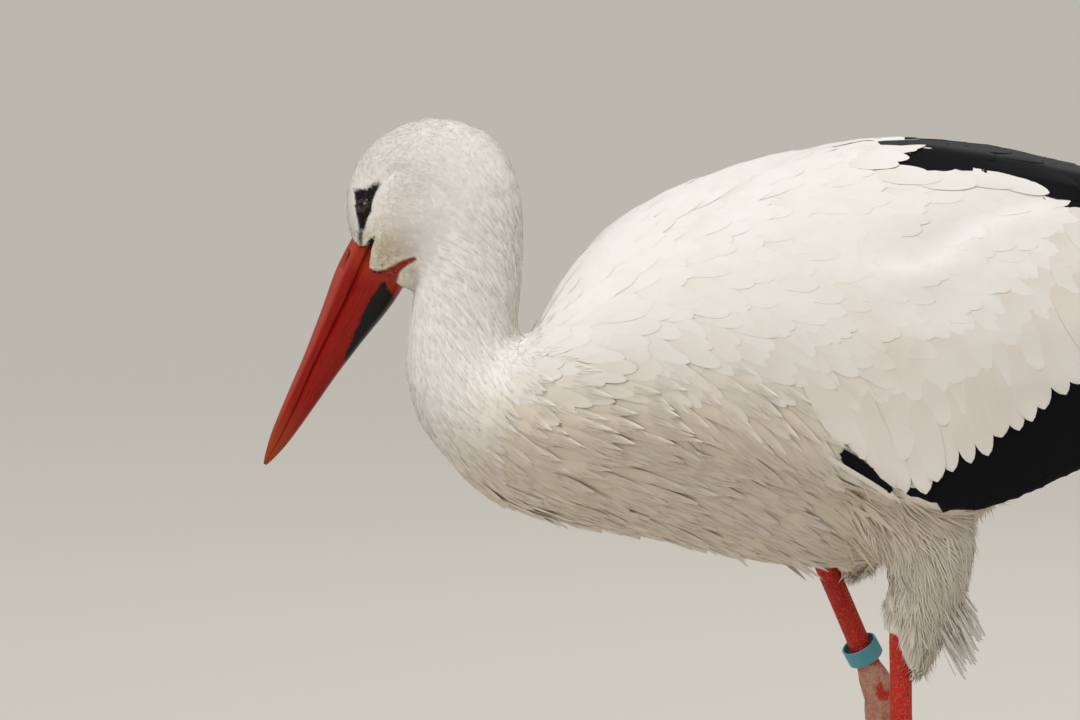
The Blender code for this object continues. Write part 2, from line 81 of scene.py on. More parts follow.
# Edges on the body, in side view, as x, z. The wing is black in the long feathers of the shoulder, on top, and in
# the flight feathers, behind and below the white coverts.
SHOULDER_BLACK = ((0.0707, 0.6267), (0.0928, 0.6264), (0.1088, 0.6248), (0.1247, 0.6232), (0.1406, 0.6221),
                  (0.1565, 0.6207), (0.1669, 0.6179), (0.1745, 0.6137), (0.1786, 0.6091), (0.1849, 0.6086),
                  (0.2008, 0.6035), (0.262, 0.586), (0.40, 0.556), (0.40, 0.70), (0.068, 0.70), (0.068, 0.6440),
                  (0.0960, 0.6425), (0.0971, 0.6411), (0.0848, 0.6344), (0.0773, 0.6305))
# The tips of the largest white feathers, from the lowest one up and back; then with those ahead of them.
COVERT_TIPS = ((0.0952, 0.4009), (0.1057, 0.4161), (0.1236, 0.4232), (0.1345, 0.4310), (0.1445, 0.4383),
               (0.1541, 0.4436), (0.1689, 0.4531), (0.1804, 0.4621), (0.1925, 0.4721), (0.205, 0.483),
               (0.217, 0.495), (0.229, 0.508), (0.241, 0.522), (0.254, 0.537), (0.268, 0.551), (0.284, 0.562),
               (0.300, 0.570))
ROW_TIPS = ((0.0425, 0.4370), (0.0569, 0.4225), (0.0676, 0.4117), (0.0786, 0.4044), *COVERT_TIPS)
FLIGHT_BLACK = (*COVERT_TIPS, (0.301, 0.582), (0.40, 0.582), (0.40, 0.30), (0.09, 0.30))
# The front and lower edge of the folded wing, the edge of its black part below, and the step where the shoulder
# feathers end on it.
WING_EDGE = ((0.0050, 0.5150), (0.0200, 0.4880), (0.0330, 0.4600), (0.0387, 0.4396), (0.0564, 0.4162),
             (0.0813, 0.4007), (0.0957, 0.3969))
WING_SHEET = (*WING_EDGE, (0.30, 0.40), (0.30, 0.56), (0.0050, 0.56))
WING_UNDERSIDE = ((0.085, 0.390), (0.130, 0.388), (0.165, 0.395), (0.205, 0.417), (0.250, 0.451), (0.300, 0.489),
                  (0.340, 0.514))
SHOULDER_STEP = ((0.0300, 0.5655), (0.0545, 0.5665), (0.0883, 0.5665), (0.1009, 0.5713), (0.1115, 0.5807),
                 (0.1229, 0.5892), (0.1388, 0.5966), (0.1494, 0.5998), (0.1787, 0.6093), (0.2100, 0.6093))
# Where the tips of the longest plumes show below the belly.
BELLY_TIPS = ((-0.150, 0.3800), (-0.130, 0.3738), (-0.108, 0.3715), (-0.0889, 0.3668), (-0.067, 0.3620),
              (-0.0462, 0.3545), (-0.020, 0.3500), (0.0245, 0.3370))

EYE_SPOT = {side: (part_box(f"eye_{side}")[0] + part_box(f"eye_{side}")[1]) / 2 for side in ("left", "right")}
EYE_RADIUS = (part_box("eye_left")[1].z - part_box("eye_left")[0].z) / 2
SLEEVE = {"left": 0.298, "right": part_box("thigh_right")[0].z + 0.008}    # where the shins leave their feathers


# ---------------------------------------------------------------- mesh helpers
def link(name, data):
    """A new object in the scene, for a mesh, a light or a camera."""
    made = bpy.data.objects.new(name, data)
    bpy.context.scene.collection.objects.link(made)
    return made


def mesh_of(name, points, faces):
    """A mesh made from points and faces."""
    mesh = bpy.data.meshes.new(name)
    mesh.from_pydata([tuple(p) for p in points], [], [tuple(f) for f in faces])
    mesh.update()
    return mesh


def coordinates(mesh):
    """The places of the mesh's points, one row each."""
    points = np.zeros(len(mesh.vertices) * 3, np.float32)
    mesh.vertices.foreach_get("co", points)
    return points.reshape(-1, 3).astype(float)


@contextmanager
def reworked(mesh):
    """The mesh opened for editing, and written back afterwards."""
    work = bmesh.new()
    work.from_mesh(mesh)
    yield work
    work.to_mesh(mesh)
    work.free()


def settled(thing, name):
    """The object with its modifiers applied, as a new plain mesh."""
    depsgraph = bpy.context.evaluated_depsgraph_get()
    mesh = bpy.data.meshes.new_from_object(thing.evaluated_get(depsgraph), preserve_all_data_layers=True,
                                           depsgraph=depsgraph)
    thing.modifiers.clear()
    thing.data = mesh
    thing.name = mesh.name = name
    return thing


def one_body(name, nodes, grain, rounds, root=None):
    """One smooth body over several of the solids, with no step where they meet. root is a body added to them."""
    joined = root or bmesh.new()
    for node in nodes:
        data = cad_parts[node].data.copy()
        with reworked(data) as part:
            bmesh.ops.remove_doubles(part, verts=part.verts, dist=WELD)
        joined.from_mesh(data)
        bpy.data.meshes.remove(data)
    data = bpy.data.meshes.new(name)
    joined.to_mesh(data)
    joined.free()
    made = link(name, data)
    remesh = made.modifiers.new("one body", "REMESH")
    remesh.mode, remesh.voxel_size, remesh.adaptivity = "VOXEL", grain, 0.0
    soften = made.modifiers.new("soften", "SMOOTH")
    soften.factor, soften.iterations = 0.5, rounds
    return settled(made, name)


def write(mesh, name, values, kind="FLOAT", domain="POINT"):
    """Stores one value for each point as a named attribute."""
    field = mesh.attributes.get(name) or mesh.attributes.new(name, kind, domain)
    field.data.foreach_set("vector" if kind.startswith("FLOAT_V") or kind == "FLOAT2" else "value",
                           np.ascontiguousarray(values, np.float32).ravel())


def ease(x, low, high):
    """0 below low, 1 above high, smooth between; low may be the larger."""
    t = np.clip((np.asarray(x, float) - low) / (high - low), 0, 1)
    return t * t * (3 - 2 * t)


def unit(vectors):
    return vectors / np.maximum(np.linalg.norm(vectors, axis=-1, keepdims=True), 1e-9)


# ---------------------------------------------------------------- skin
def neighbour_pairs(mesh):
    """The two ends of each edge of the mesh."""
    pairs = np.zeros(len(mesh.edges) * 2, np.int32)
    mesh.edges.foreach_get("vertices", pairs)
    return pairs.reshape(-1, 2)


def averaged(values, pairs, rounds):
    """Each point's value mixed with those of its neighbours, rounds times over."""
    count = len(values)
    flat = values.reshape(count, -1).astype(float)
    degree = np.bincount(pairs.ravel(), minlength=count)[:, None] + 1.0
    for _ in range(rounds):
        total = flat.copy()
        for k in range(flat.shape[1]):
            total[:, k] += np.bincount(pairs[:, 0], flat[pairs[:, 1], k], count)
            total[:, k] += np.bincount(pairs[:, 1], flat[pairs[:, 0], k], count)
        flat = total / degree
    return flat.reshape(values.shape)


def even_spread(pairs, count, fixed, known):
    """Values that spread evenly over the skin between the points where they are known, by conjugate gradients."""
    free = ~fixed
    degree = np.bincount(pairs.ravel(), minlength=count).astype(float)
    value = np.where(fixed, known, 0.5)

    def residual(x):
        around = np.bincount(pairs[:, 0], x[pairs[:, 1]], count) + np.bincount(pairs[:, 1], x[pairs[:, 0]], count)
        return (degree * x - around) * free

    r = -residual(value)
    z = r / degree
    p, rz = z.copy(), r @ z
    for _ in range(900):
        a = residual(p)
        step = rz / max(p @ a, 1e-30)
        value += step * p
        r -= step * a
        if np.abs(r).max() < 1e-9:
            break
        z = r / degree
        rz, last = r @ z, rz
        p = z + (rz / last) * p
    return value


def slope_of(mesh, points, values):
    """Direction in which the values rise, along the skin, at each point."""
    mesh.calc_loop_triangles()
    faces = np.zeros(len(mesh.loop_triangles) * 3, np.int32)
    mesh.loop_triangles.foreach_get("vertices", faces)
    faces = faces.reshape(-1, 3)
    a, b, c = (points[faces[:, k]] for k in range(3))
    normal = np.cross(b - a, c - a)
    area = np.linalg.norm(normal, axis=1, keepdims=True)
    normal = unit(normal)
    at_a, at_b, at_c = (values[faces[:, k], None] for k in range(3))
    rise = (at_a * np.cross(normal, c - b) + at_b * np.cross(normal, a - c)
            + at_c * np.cross(normal, b - a)) / np.maximum(area, 1e-12)
    rise = unit(rise) * area
    total = np.zeros_like(points)
    for k in range(3):
        for axis in range(3):
            total[:, axis] += np.bincount(faces[:, k], rise[:, axis], len(points))
    return unit(total)


def solid_shares(points, pairs):
    """Share of each solid at each point of the skin, from the one that lies nearest."""
    trees = {}
    for name in FLESH:
        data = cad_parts[name].data
        data.calc_loop_triangles()
        trees[name] = BVHTree.FromPolygons([v.co for v in data.vertices],
                                           [tuple(t.vertices) for t in data.loop_triangles])
    distance = np.array([[tree.find_nearest(p, 0.05)[3] or 0.05 for tree in trees.values()]
                         for p in (Vector(q) for q in points)])
    nearest = np.array(FLESH)[distance.argmin(1)]
    return {name: averaged((nearest == name).astype(float), pairs, 6) for name in FLESH}


# ---------------------------------------------------------------- the head's own frame
EYES_MIDDLE = (EYE_SPOT["left"] + EYE_SPOT["right"]) / 2
ACROSS = (EYE_SPOT["right"] - EYE_SPOT["left"]).normalized()
AHEAD = Vector((0, 0, 1)).cross(ACROSS)
AHEAD = AHEAD if AHEAD.x < 0 else -AHEAD
# Places on the side of the head: distance ahead of the eyes and above them.
EYE_PATCH = ((0.0115, 0.0104), (-0.0015, 0.0116), (-0.0125, 0.0168), (-0.0082, 0.0080), (-0.0060, 0.0011),
             (-0.0060, -0.0037), (-0.0026, -0.0080), (0.0014, -0.0172), (0.0055, -0.0172), (0.0082, -0.0059),
             (0.0094, 0.0026))
SPECKLES = ((0.0036, -0.0150), (0.0060, -0.0285))
BROW = ((-0.0100, 0.0140), (-0.0156, 0.0200), (-0.0214, 0.0240), (-0.0278, 0.0267), (-0.0377, 0.0282),
        (-0.0507, 0.0285))
TEMPLE_FOLD = ((-0.0350, 0.0215), (-0.0422, 0.0212), (-0.0518, 0.0196), (-0.0602, 0.0156), (-0.0695, 0.0094))
MOUTH_CORNER = ((0.0300, -0.0318), (0.0135, -0.0303), (0.0084, -0.0304), (0.0008, -0.0292), (-0.0044, -0.0240),
                (-0.0088, -0.0213), (-0.0074, -0.0245), (-0.0040, -0.0300), (-0.0026, -0.0370), (0.0010, -0.0430),
                (0.0300, -0.0440))
GAPE = ((-0.0050, -0.0480), (-0.0121, -0.0462), (-0.0204, -0.0420), (-0.0290, -0.0378), (-0.0385, -0.0348),
        (-0.0400, -0.0368), (-0.0310, -0.0415), (-0.0250, -0.0460), (-0.0210, -0.0530), (-0.0150, -0.0600),
        (-0.0040, -0.0600))
LOBE_EDGE = ((-0.0060, -0.0250), (-0.0012, -0.0337), (-0.0002, -0.0420), (-0.0010, -0.0460), (-0.0060, -0.0480),
             (-0.0121, -0.0462))
CHEEK_LOBE = (-0.0045, -0.0400)
TEMPLE = (-0.0450, 0.0085)


def on_head(points):
    """Each point's distance ahead of the eyes, out from the head's middle on either side, and above the eyes."""
    away = points - np.array(EYES_MIDDLE)
    return away @ np.array(AHEAD), np.abs(away @ np.array(ACROSS)), away[:, 2]


def distance_to_line(line, x, z):
    """Distance from each point to a line of several stretches, drawn in side view."""
    best = np.full(len(x), 9.0)
    for (xa, za), (xb, zb) in zip(line, line[1:]):
        step = np.array((xb - xa, zb - za))
        t = np.clip(((x - xa) * step[0] + (z - za) * step[1]) / (step @ step), 0, 1)
        best = np.minimum(best, np.hypot(x - xa - t * step[0], z - za - t * step[1]))
    return best


def depth_within(outline, x, z):
    """How far inside an outline each point lies; negative outside."""
    away = distance_to_line((*outline, outline[0]), x, z)
    return np.where(inside(outline, x, z), away, -away)


def bump(distance, reach):
    """1 where the distance is 0, and nearly 0 from twice the reach on."""
    return np.exp(-(distance / reach) ** 2)


def shape_head(skin):
    """Refines the head's skin and gives it brows, temples, eye sockets, cheek lobes and the corners of the mouth."""
    with reworked(skin.data) as work:
        near = {v for v in work.verts if (v.co - EYES_MIDDLE + AHEAD * 0.02).length < 0.062}
        bmesh.ops.subdivide_edges(work, edges=[e for e in work.edges if e.verts[0] in near and e.verts[1] in near],
                                  cuts=1, use_grid_fill=True, smooth=0.0)
        bmesh.ops.triangulate(work, faces=[f for f in work.faces if len(f.verts) > 4])
        work.normal_update()
        points = np.array([v.co for v in work.verts])
        normals = np.array([v.normal for v in work.verts])
        a, s, u = on_head(points)
        brow, fold = distance_to_line(BROW, a, u), distance_to_line(TEMPLE_FOLD, a, u)
        above = u > np.interp(-a, [-p[0] for p in BROW], [p[1] for p in BROW])
        fade = ease(a, -0.052, -0.030)
        move = -0.0015 * bump(brow, 0.0024) * fade
        move += 0.0013 * bump(brow - 0.0055, 0.0045) * above * (0.3 + 0.7 * fade)
        move -= 0.0020 * bump(np.hypot((a - TEMPLE[0]) / 1.6, u - TEMPLE[1]), 0.0095)
        move -= 0.0008 * bump(fold, 0.0020)
        move += 0.0012 * bump(np.hypot(a + 0.016, u + 0.020), 0.012)                       # the cheek
        move -= 0.0012 * ease(depth_within(EYE_PATCH, a, u), -0.0015, 0.002)
        move -= 0.0016 * ease(depth_within(GAPE, a, u), -0.001, 0.003)
        move += 0.0010 * bump(np.hypot(a - CHEEK_LOBE[0] + 0.004, u - CHEEK_LOBE[1]), 0.0075)
        move *= ease(s, 0.009, 0.016) * bump(np.hypot(a + 0.02, u + 0.005), 0.075)        # on the sides only
        move -= 0.0055 * ease(depth_within(MOUTH_CORNER, a, u), -0.0006, 0.0020)
        points += normals * move[:, None]
        lobe = bump(np.hypot(a - CHEEK_LOBE[0], u - CHEEK_LOBE[1]), 0.0055) * ease(s, 0.006, 0.010)
        points += lobe[:, None] * np.array(BILL_WAY) * 0.0045
        for vert, place in zip(work.verts, points):
            vert.co = place
    skin.data.update()


def shape_wings(skin):
    """Sets the wing's front edge over the flank and the shoulder feathers' edge over the wing, with soft lumps."""
    mesh = skin.data
    mesh.update()
    points = coordinates(mesh)
    normals = np.array([v.normal for v in mesh.vertices])
    x, y, z = points.T
    flank = ease(abs(y), 0.045, 0.062)
    into_wing = depth_within(WING_SHEET, x, z)
    close = distance_to_line(WING_EDGE, x, z)
    fade = ease(x, 0.115, 0.085)
    move = np.where(into_wing > 0, 0.0016 * bump(close - 0.005, 0.012), -0.0042 * ease(close, 0.024, 0.001))
    move = move * fade * ease(z, 0.520, 0.500)

    step = distance_to_line(SHOULDER_STEP, x, z)
    over = z > np.interp(x, [p[0] for p in SHOULDER_STEP], [p[1] for p in SHOULDER_STEP])
    sheet = np.where(over, -0.0036 * ease(step, 0.030, 0.0), -0.0036 + 0.0048 * ease(step, 0.0, 0.011))
    sheet = np.where(over, sheet, sheet * ease(step, 0.040, 0.012))
    move += sheet * ease(x, 0.030, 0.070) * ease(x, 0.205, 0.175) * ease(step, 0.045, 0.030)

    lumps = np.array([lump_noise.noise(Vector(p) * 38) for p in points])
    move = move * flank + 0.0011 * lumps * ease(x, -0.10, -0.04) * ease(z, 0.40, 0.44)
    mesh.vertices.foreach_set("co", (points + normals * move[:, None]).astype(np.float32).ravel())
    mesh.update()


def shin_top(word):
    """Middle of a shin's upper end, the way the shin rises, and its radius there."""
    points = coordinates(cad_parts[f"shin_{word}"].data)
    top = points[points[:, 2] > points[:, 2].max() - 0.006]
    low = points[points[:, 2] < points[:, 2].min() + 0.030]
    rise = Vector(top.mean(0) - low.mean(0)).normalized()
    return Vector(top.mean(0)), rise, np.linalg.norm(np.cross(top - top.mean(0), np.array(rise)), axis=1).max()


def about_shin(points, word):
    """Each point's way out from the middle line of a shin, and the shin's radius."""
    top, rise, radius = shin_top(word)
    away = points - np.array(top)
    return away - (away @ np.array(rise))[:, None] * np.array(rise), radius


def shape_thighs(skin):
    """Closes the thighs' lower ends round the shins, which come out of them at the height of the sleeve."""
    mesh = skin.data
    points = coordinates(mesh)
    for word, _ in SIDES:
        out, radius = about_shin(points, word)
        far = np.linalg.norm(out, axis=1)
        grip = ease(points[:, 2], SLEEVE[word] - 0.004, SLEEVE[word] + 0.006)
        grip *= ease(points[:, 2], SLEEVE[word] + 0.050, SLEEVE[word] + 0.030) * (far < 0.020)
        points += out * (np.maximum(far, (radius + 0.0020) * grip) / np.maximum(far, 1e-6) - 1)[:, None]
    mesh.vertices.foreach_set("co", points.astype(np.float32).ravel())
    mesh.update()


# ---------------------------------------------------------------- bill
BILL_TIP = EYES_MIDDLE + AHEAD * 0.0907 + Vector((0, 0, -0.1875))
BILL_ROOT = EYES_MIDDLE + AHEAD * 0.0020 + Vector((0, 0, -0.0430))
BILL_WAY = (BILL_TIP - BILL_ROOT).normalized()
BILL_LENGTH = (BILL_TIP - BILL_ROOT).length
RIDGE_WAY = ACROSS.cross(BILL_WAY)
RIDGE_WAY = RIDGE_WAY if RIDGE_WAY.z > 0 else -RIDGE_WAY
# share of the length, half depth, half width, height of the line where the halves close
BILL_SECTIONS = np.array((
    (-0.15, 0.0235, 0.0180, 0.20), (0.0, 0.0248, 0.0165, 0.18), (0.12, 0.0238, 0.0138, 0.12),
    (0.30, 0.0184, 0.0112, 0.11), (0.50, 0.0136, 0.0087, 0.10), (0.70, 0.0105, 0.0062, -0.11),
    (0.88, 0.0070, 0.0040, -0.30), (0.97, 0.0032, 0.0024, -0.30), (1.0, 0.0012, 0.0012, -0.30)))
BILL_SIDES = 40
NOSTRIL = (0.000, 0.095, 0.76)     # share of the length where it starts and ends, and its height
# Edges of the black patch on the side of the lower half: heights of its top by share of the length, and shares of
# the length where it starts, by height.
GULAR_TOP = np.array(((0.0, -0.60), (0.088, -0.53), (0.156, -0.53), (0.257, -0.67), (0.358, -0.83), (0.415, -0.97),
                      (0.6, -1.7)))
GULAR_ROOT = np.array(((-1.1, 0.085), (-1.0, 0.071), (-0.94, 0.049), (-0.78, 0.032), (-0.73, 0.015), (-0.60, 0.0)))


# ---------------------------------------------------------------- the lie and the size of the coat
def inside(outline, x, z):
    """Whether each point lies within an outline drawn in side view."""
    found = np.zeros(len(x), bool)
    for (xa, za), (xb, zb) in zip(outline, outline[1:] + outline[:1]):
        crosses = (za > z) != (zb > z)
        found ^= crosses & (x < xa + (z - za) * (xb - xa) / (zb - za if zb != za else 1e-9))
    return found


def is_black(points, on_wing):
    """Whether the wing is black at each point. on_wing says which points are on a wing."""
    x, z = points[:, 0], points[:, 2]
    return on_wing & (inside(SHOULDER_BLACK, x, z) | inside(FLIGHT_BLACK, x, z))


def outward_only(mesh, points, normals):
    """1 where the skin can be seen from outside, 0 inside the folds between wing and body."""
    mesh.calc_loop_triangles()
    tree = BVHTree.FromPolygons([Vector(p) for p in points], [tuple(t.vertices) for t in mesh.loop_triangles])
    seen = np.zeros(len(points))
    turns = [Matrix.Rotation(math.radians(angle), 3, axis) for axis in "XYZ" for angle in (-50, 50)]
    for i, (point, normal) in enumerate(zip(points, normals)):
        p, n = Vector(point), Vector(normal)
        seen[i] = any(tree.ray_cast(p + n * 0.003, way, 0.4)[0] is None for way in (n, *(t @ n for t in turns)))
    return seen


def survey(mesh):
    """What the layout of the coat goes by, at each point of the skin."""
    at = SimpleNamespace(points=coordinates(mesh), pairs=neighbour_pairs(mesh),
                         normals=np.array([v.normal for v in mesh.vertices]))
    x, _, z = at.points.T
    at.solids = solid_shares(at.points, at.pairs)
    at.coverts, at.flight, at.scapulars, at.thigh = (
        at.solids[name.format("left")] + at.solids[name.format("right")]
        for name in ("wing_{}_coverts", "wing_{}_flight", "wing_{}_scapulars", "thigh_{}"))
    at.wing = at.coverts + at.flight + at.scapulars
    at.wing_end = (x > 0.27) & (at.solids["tail"] < 0.5) & (z > 0.505)
    at.on_wing = (at.wing > 0.5) & (at.thigh < 0.2) | at.wing_end | (x > 0.16) & (z > 0.56)
    return at


def feather_lie(mesh, at):
    """The way feathers lie: from the bill towards the tail, the wing tips and the hems of the thighs."""
    x, _, z = at.points.T
    from_bill = np.linalg.norm(at.points - np.array(BILL_ROOT), axis=1)
    start, end = from_bill < 0.020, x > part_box("tail")[1].x - 0.012
    for word, margin in (("left", 0.008), ("right", 0.006)):
        end |= (at.solids[f"thigh_{word}"] > 0.5) & (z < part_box(f"thigh_{word}")[0].z + margin)
    along = even_spread(at.pairs, len(at.points), start | end, end.astype(float))
    lie = slope_of(mesh, at.points, along)

    steep = np.interp(z, (0.41, 0.43, 0.50, 0.56, 0.62), (74, 68, 46, 24, 8)) - 25 * ease(x, 0.16, 0.30)
    steep = np.radians(steep)
    covert_way = np.stack([np.cos(steep), 0 * steep, -np.sin(steep)], 1)
    wing_tip = np.array((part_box("wing_left_flight")[1].x + 0.12, 0, 0.520))
    tip_way = unit(wing_tip - at.points * (1, 0, 1))
    thigh_way = unit(np.array((0.22, 0, -1.0)))
    lie = lie + 1.6 * at.coverts[:, None] * covert_way + 3 * (at.flight + at.scapulars)[:, None] * tip_way
    lie += 1.2 * at.thigh[:, None] * thigh_way
    lie -= 4 * (bump(from_bill, 0.026) * at.solids["head"])[:, None] * np.array(BILL_WAY)
    lie -= at.normals * (lie * at.normals).sum(1)[:, None]
    return unit(averaged(unit(lie), at.pairs, 8))


def zone_shares(at):
    """Share of each zone of the coat at each point of the skin, with soft borders between them."""
    x, _, z = at.points.T
    front_wing = at.coverts * ease(x, 0.05, -0.03) * ease(z, 0.54, 0.48)
    shares = {
        "head": at.solids["head"],
        "neck": at.solids["neck_upper"] + at.solids["neck_lower"],
        "breast": (at.solids["trunk"] + front_wing) * ease(z - 0.1 * x, 0.530, 0.465) * ease(x, 0.06, 0.0),
        "thigh": at.thigh,
        "wing": at.coverts - front_wing + at.flight + at.scapulars,
        "tail": at.solids["tail"],
    }
    rest = np.clip(1 - sum(shares.values()), 0, 1)
    shares["belly"] = rest * ease(z, 0.50, 0.42)
    shares["back"] = rest - shares["belly"]
    below_wing = ease(z, 0.408, 0.392) * ease(x, 0.050, 0.070) * ease(x, 0.175, 0.155) * (at.wing < 0.5)
    for name in ("wing", "back", "belly"):
        shares["thigh"] = shares["thigh"] + shares[name] * below_wing
        shares[name] = shares[name] * (1 - below_wing)
    total = sum(shares.values())
    rounds = {"head": 8, "neck": 12, "thigh": 10}
    shares = {name: averaged(share / total, at.pairs, rounds.get(name, 40)) for name, share in shares.items()}
    off_wing = shares["wing"] * (averaged(at.wing, at.pairs, 2) < 0.35) * (z < 0.430) * (x < 0.10)
    shares["belly"] = shares["belly"] + off_wing
    shares["wing"] = shares["wing"] - off_wing
    total = sum(shares.values())
    return {name: share / total for name, share in shares.items()}


def feather_sizes(at, shares):
    """Depth, length and width of the feathers at each point: short round the shins and thin towards the tail."""
    x, _, z = at.points.T
    sizes = sum(share[:, None] * np.array(COAT[name]) for name, share in shares.items())
    for word, _ in SIDES:
        out, radius = about_shin(at.points, word)
        near = ease(np.linalg.norm(out, axis=1), radius + 0.012, radius + 0.006)
        near *= ease(z, SLEEVE[word] + 0.045, SLEEVE[word] + 0.020)
        sizes[:, 1] *= 1 - near * (0.25 + 0.35 * ease(out[:, 0], 0.003, -0.003))
        sizes[:, 0] *= 1 - 0.85 * near
    sizes[:, 0] *= 0.25 + 0.75 * ease(x, 0.372, 0.25)
    return sizes


def face_marks(at, shares, lie, sizes):
    """How much of each mark of the face every point bears. Feathers are shortened down round the bare places, and
    blocked where they would lie over one."""
    a, s, u = on_head(at.points)
    flank = (shares["head"] > 0.3) & (s > 0.008)
    patch, mouth, gape = (depth_within(line, a, u) for line in (EYE_PATCH, MOUTH_CORNER, GAPE))
    near_eye, near_mouth = ease(-patch, 0.001, 0.013), ease(-np.maximum(mouth, gape), 0.0005, 0.006)
    sizes[:, 1] *= np.where(flank, 0.36 + 0.64 * np.minimum(near_eye, near_mouth), 1.0)
    over_patch = np.zeros(len(a), bool)
    for part in (0.0, 0.4, 0.8):
        ahead, _, higher = on_head(at.points + lie * sizes[:, 1:2] * part)
        over_patch |= depth_within(EYE_PATCH, ahead, higher) > 0.0002
    speckled = flank * bump(distance_to_line(SPECKLES, a, u), 0.0022)
    # Painted shadow: a thin dark line, of black skin and dark tufts, in the crease where the cheek lobe meets the
    # bill.
    lobe_crease_shade = flank * bump(distance_to_line(LOBE_EDGE, a, u), 0.0011)
    return SimpleNamespace(
        blocked=(shares["head"] > 0.3) & ((mouth > 0.0) | flank & (over_patch | (gape > 0.0))),
        speckled=speckled, lobe_crease_shade=lobe_crease_shade,
        tufted=flank * np.maximum((patch > -0.0003) * 0.8, np.maximum(speckled, 0.6 * lobe_crease_shade)),
        dark=flank * ease(np.maximum(patch, mouth), -0.0006, 0.0006),
        bare=flank * ease(gape, -0.0008, 0.0008),
        cheek=flank * bump(np.hypot(a + 0.012, u + 0.036), 0.022))


def growth(at, shares, face, lie, sizes, seen):
    """How densely each zone's feathers grow. None grows where its tip would pass the edge of a marking or hang out
    under the wing, nor where the folded wing hides it."""
    x, _, z = at.points.T
    reach = lie * sizes[:, 1:2]
    ends = at.points + reach
    short_of_black, well_over_black = 1.10, 0.42        # shares of a feather's length
    near_wing = averaged(at.on_wing.astype(float), at.pairs, 14) > np.where(z > 0.42, 0.02, 0.5)
    black_at_tip = is_black(at.points + reach * short_of_black, near_wing)
    over_edge = ends[:, 2] > np.interp(x + 0.03, *np.array(WING_UNDERSIDE).T)
    black_ahead = is_black(at.points + reach * well_over_black, near_wing) & over_edge & (at.solids["tail"] < 0.5)
    within_wing = ends[:, 2] >= np.interp(ends[:, 0], *np.array(ROW_TIPS).T, left=0.0)
    off_wing = (at.wing < 0.4) & ~((x > 0.085) & (z > 0.396) | (x > 0.11) & over_edge)
    # Head feathers thin out over the speckles and over the painted shadow line along the lobe.
    bare = np.maximum(ease(face.speckled, 0.1, 0.5), face.lobe_crease_shade)
    grows = {name: share * seen * ~black_at_tip * ~at.wing_end for name, share in shares.items()}
    for name, here in (("head", ~face.blocked * (1 - 0.95 * bare)), ("thigh", ease(x, 0.150, 0.136) * off_wing),
                       ("belly", off_wing), ("wing", within_wing), ("back", within_wing)):
        grows[name] = grows[name] * here
    return {**grows, "face": face.tufted, "black": seen & black_ahead}


def lay_out_coat(skin):
    """Finds which way feathers lie at each point of the skin and how big they are, and draws the skin in under
    them. Everything is kept on the skin as named attributes."""
    mesh = skin.data
    at = survey(mesh)
    x, y, z = at.points.T
    seen = averaged(outward_only(mesh, at.points, at.normals), at.pairs, 1) > 0.4
    lie, shares = feather_lie(mesh, at), zone_shares(at)
    sizes = feather_sizes(at, shares)
    face = face_marks(at, shares, lie, sizes)
    black = is_black(at.points, at.on_wing) & ((x > 0.12) | is_black(at.points - lie * 0.010, at.on_wing))
    black = np.maximum(averaged(black.astype(float), at.pairs, 1), face.dark)
    # cream: a real cream tint on the cheeks, and painted shade with painted warm bounce light on the breast, belly
    # and thighs, and on the wing darker towards its bottom.
    cream = (face.cheek + 0.6 * shares["thigh"] + 1.4 * shares["belly"] + 0.75 * shares["breast"]
             + 0.35 * shares["wing"] * ease(z, 0.58, 0.46))

    spread_out(skin)
    write(mesh, "lie", lie, "FLOAT_VECTOR")
    # Of the black, the line along the lobe's edge is painted shadow; the rest are the bird's own black marks.
    for name, values in (("depth", sizes[:, 0]), ("plume_length", sizes[:, 1]), ("plume_width", sizes[:, 2]),
                         ("on_wing", at.wing), ("cream", np.clip(cream, 0, 1.5)), ("bare", face.bare),
                         ("black", np.maximum(black, np.maximum(0.75 * face.speckled, 0.9 * face.lobe_crease_shade)))):
        write(mesh, name, values)
    for name, here in growth(at, shares, face, lie, sizes, seen).items():
        write(mesh, f"grow_{name}", here)

    drawn_in = at.points - at.normals * sizes[:, :1]
    edge = (ease(x, 0.10, 0.02) * ease(x, -0.15, -0.12) * ease(abs(y), 0.03, 0.05) * (1 - at.thigh))[:, None]
    drawn_in += edge * (averaged(drawn_in, at.pairs, 45) - drawn_in)
    mesh.vertices.foreach_set("co", drawn_in.astype(np.float32).ravel())
    mesh.update()
    write(mesh, "out", averaged(np.array([v.normal for v in mesh.vertices]), at.pairs, 3), "FLOAT_VECTOR")


def spread_out(skin):
    """Unwraps the skin into its own flat map."""
    bpy.context.view_layer.objects.active = skin
    skin.select_set(True)
    bpy.ops.object.mode_set(mode="EDIT")
    bpy.ops.mesh.select_all(action="SELECT")
    bpy.ops.uv.smart_project(angle_limit=math.radians(66), island_margin=0.004)
    bpy.ops.object.mode_set(mode="OBJECT")
    skin.data.uv_layers[0].name = "skin_map"


# ---------------------------------------------------------------- feather shapes
def feather_mesh(name, blades):
    """A feather of unit length along +Y and unit half width. Each blade is a list of cross rows, and a row is a
    list of (across, along, rise). Rows are joined in order, and a row of one point closes the blade."""
    verts, faces, share, side = [], [], [], []
    for rows in blades:
        start = []
        for row in rows:
            start.append(len(verts))
            for across, along, rise in row:
                verts.append((across, along, rise))
                share.append(along)
                side.append(across)
        for (i, a), (j, b) in zip(zip(start, rows), zip(start[1:], rows[1:])):
            if len(b) == 1:
                faces += [(i + k, i + k + 1, j) for k in range(len(a) - 1)]
            else:
                faces += [(i + k, i + k + 1, j + k + 1, j + k) for k in range(len(a) - 1)]
    mesh = mesh_of(name, verts, faces)
    write(mesh, "share", share)
    write(mesh, "side", side)
    write(mesh, "rise", [v[2] for v in verts])
    return mesh


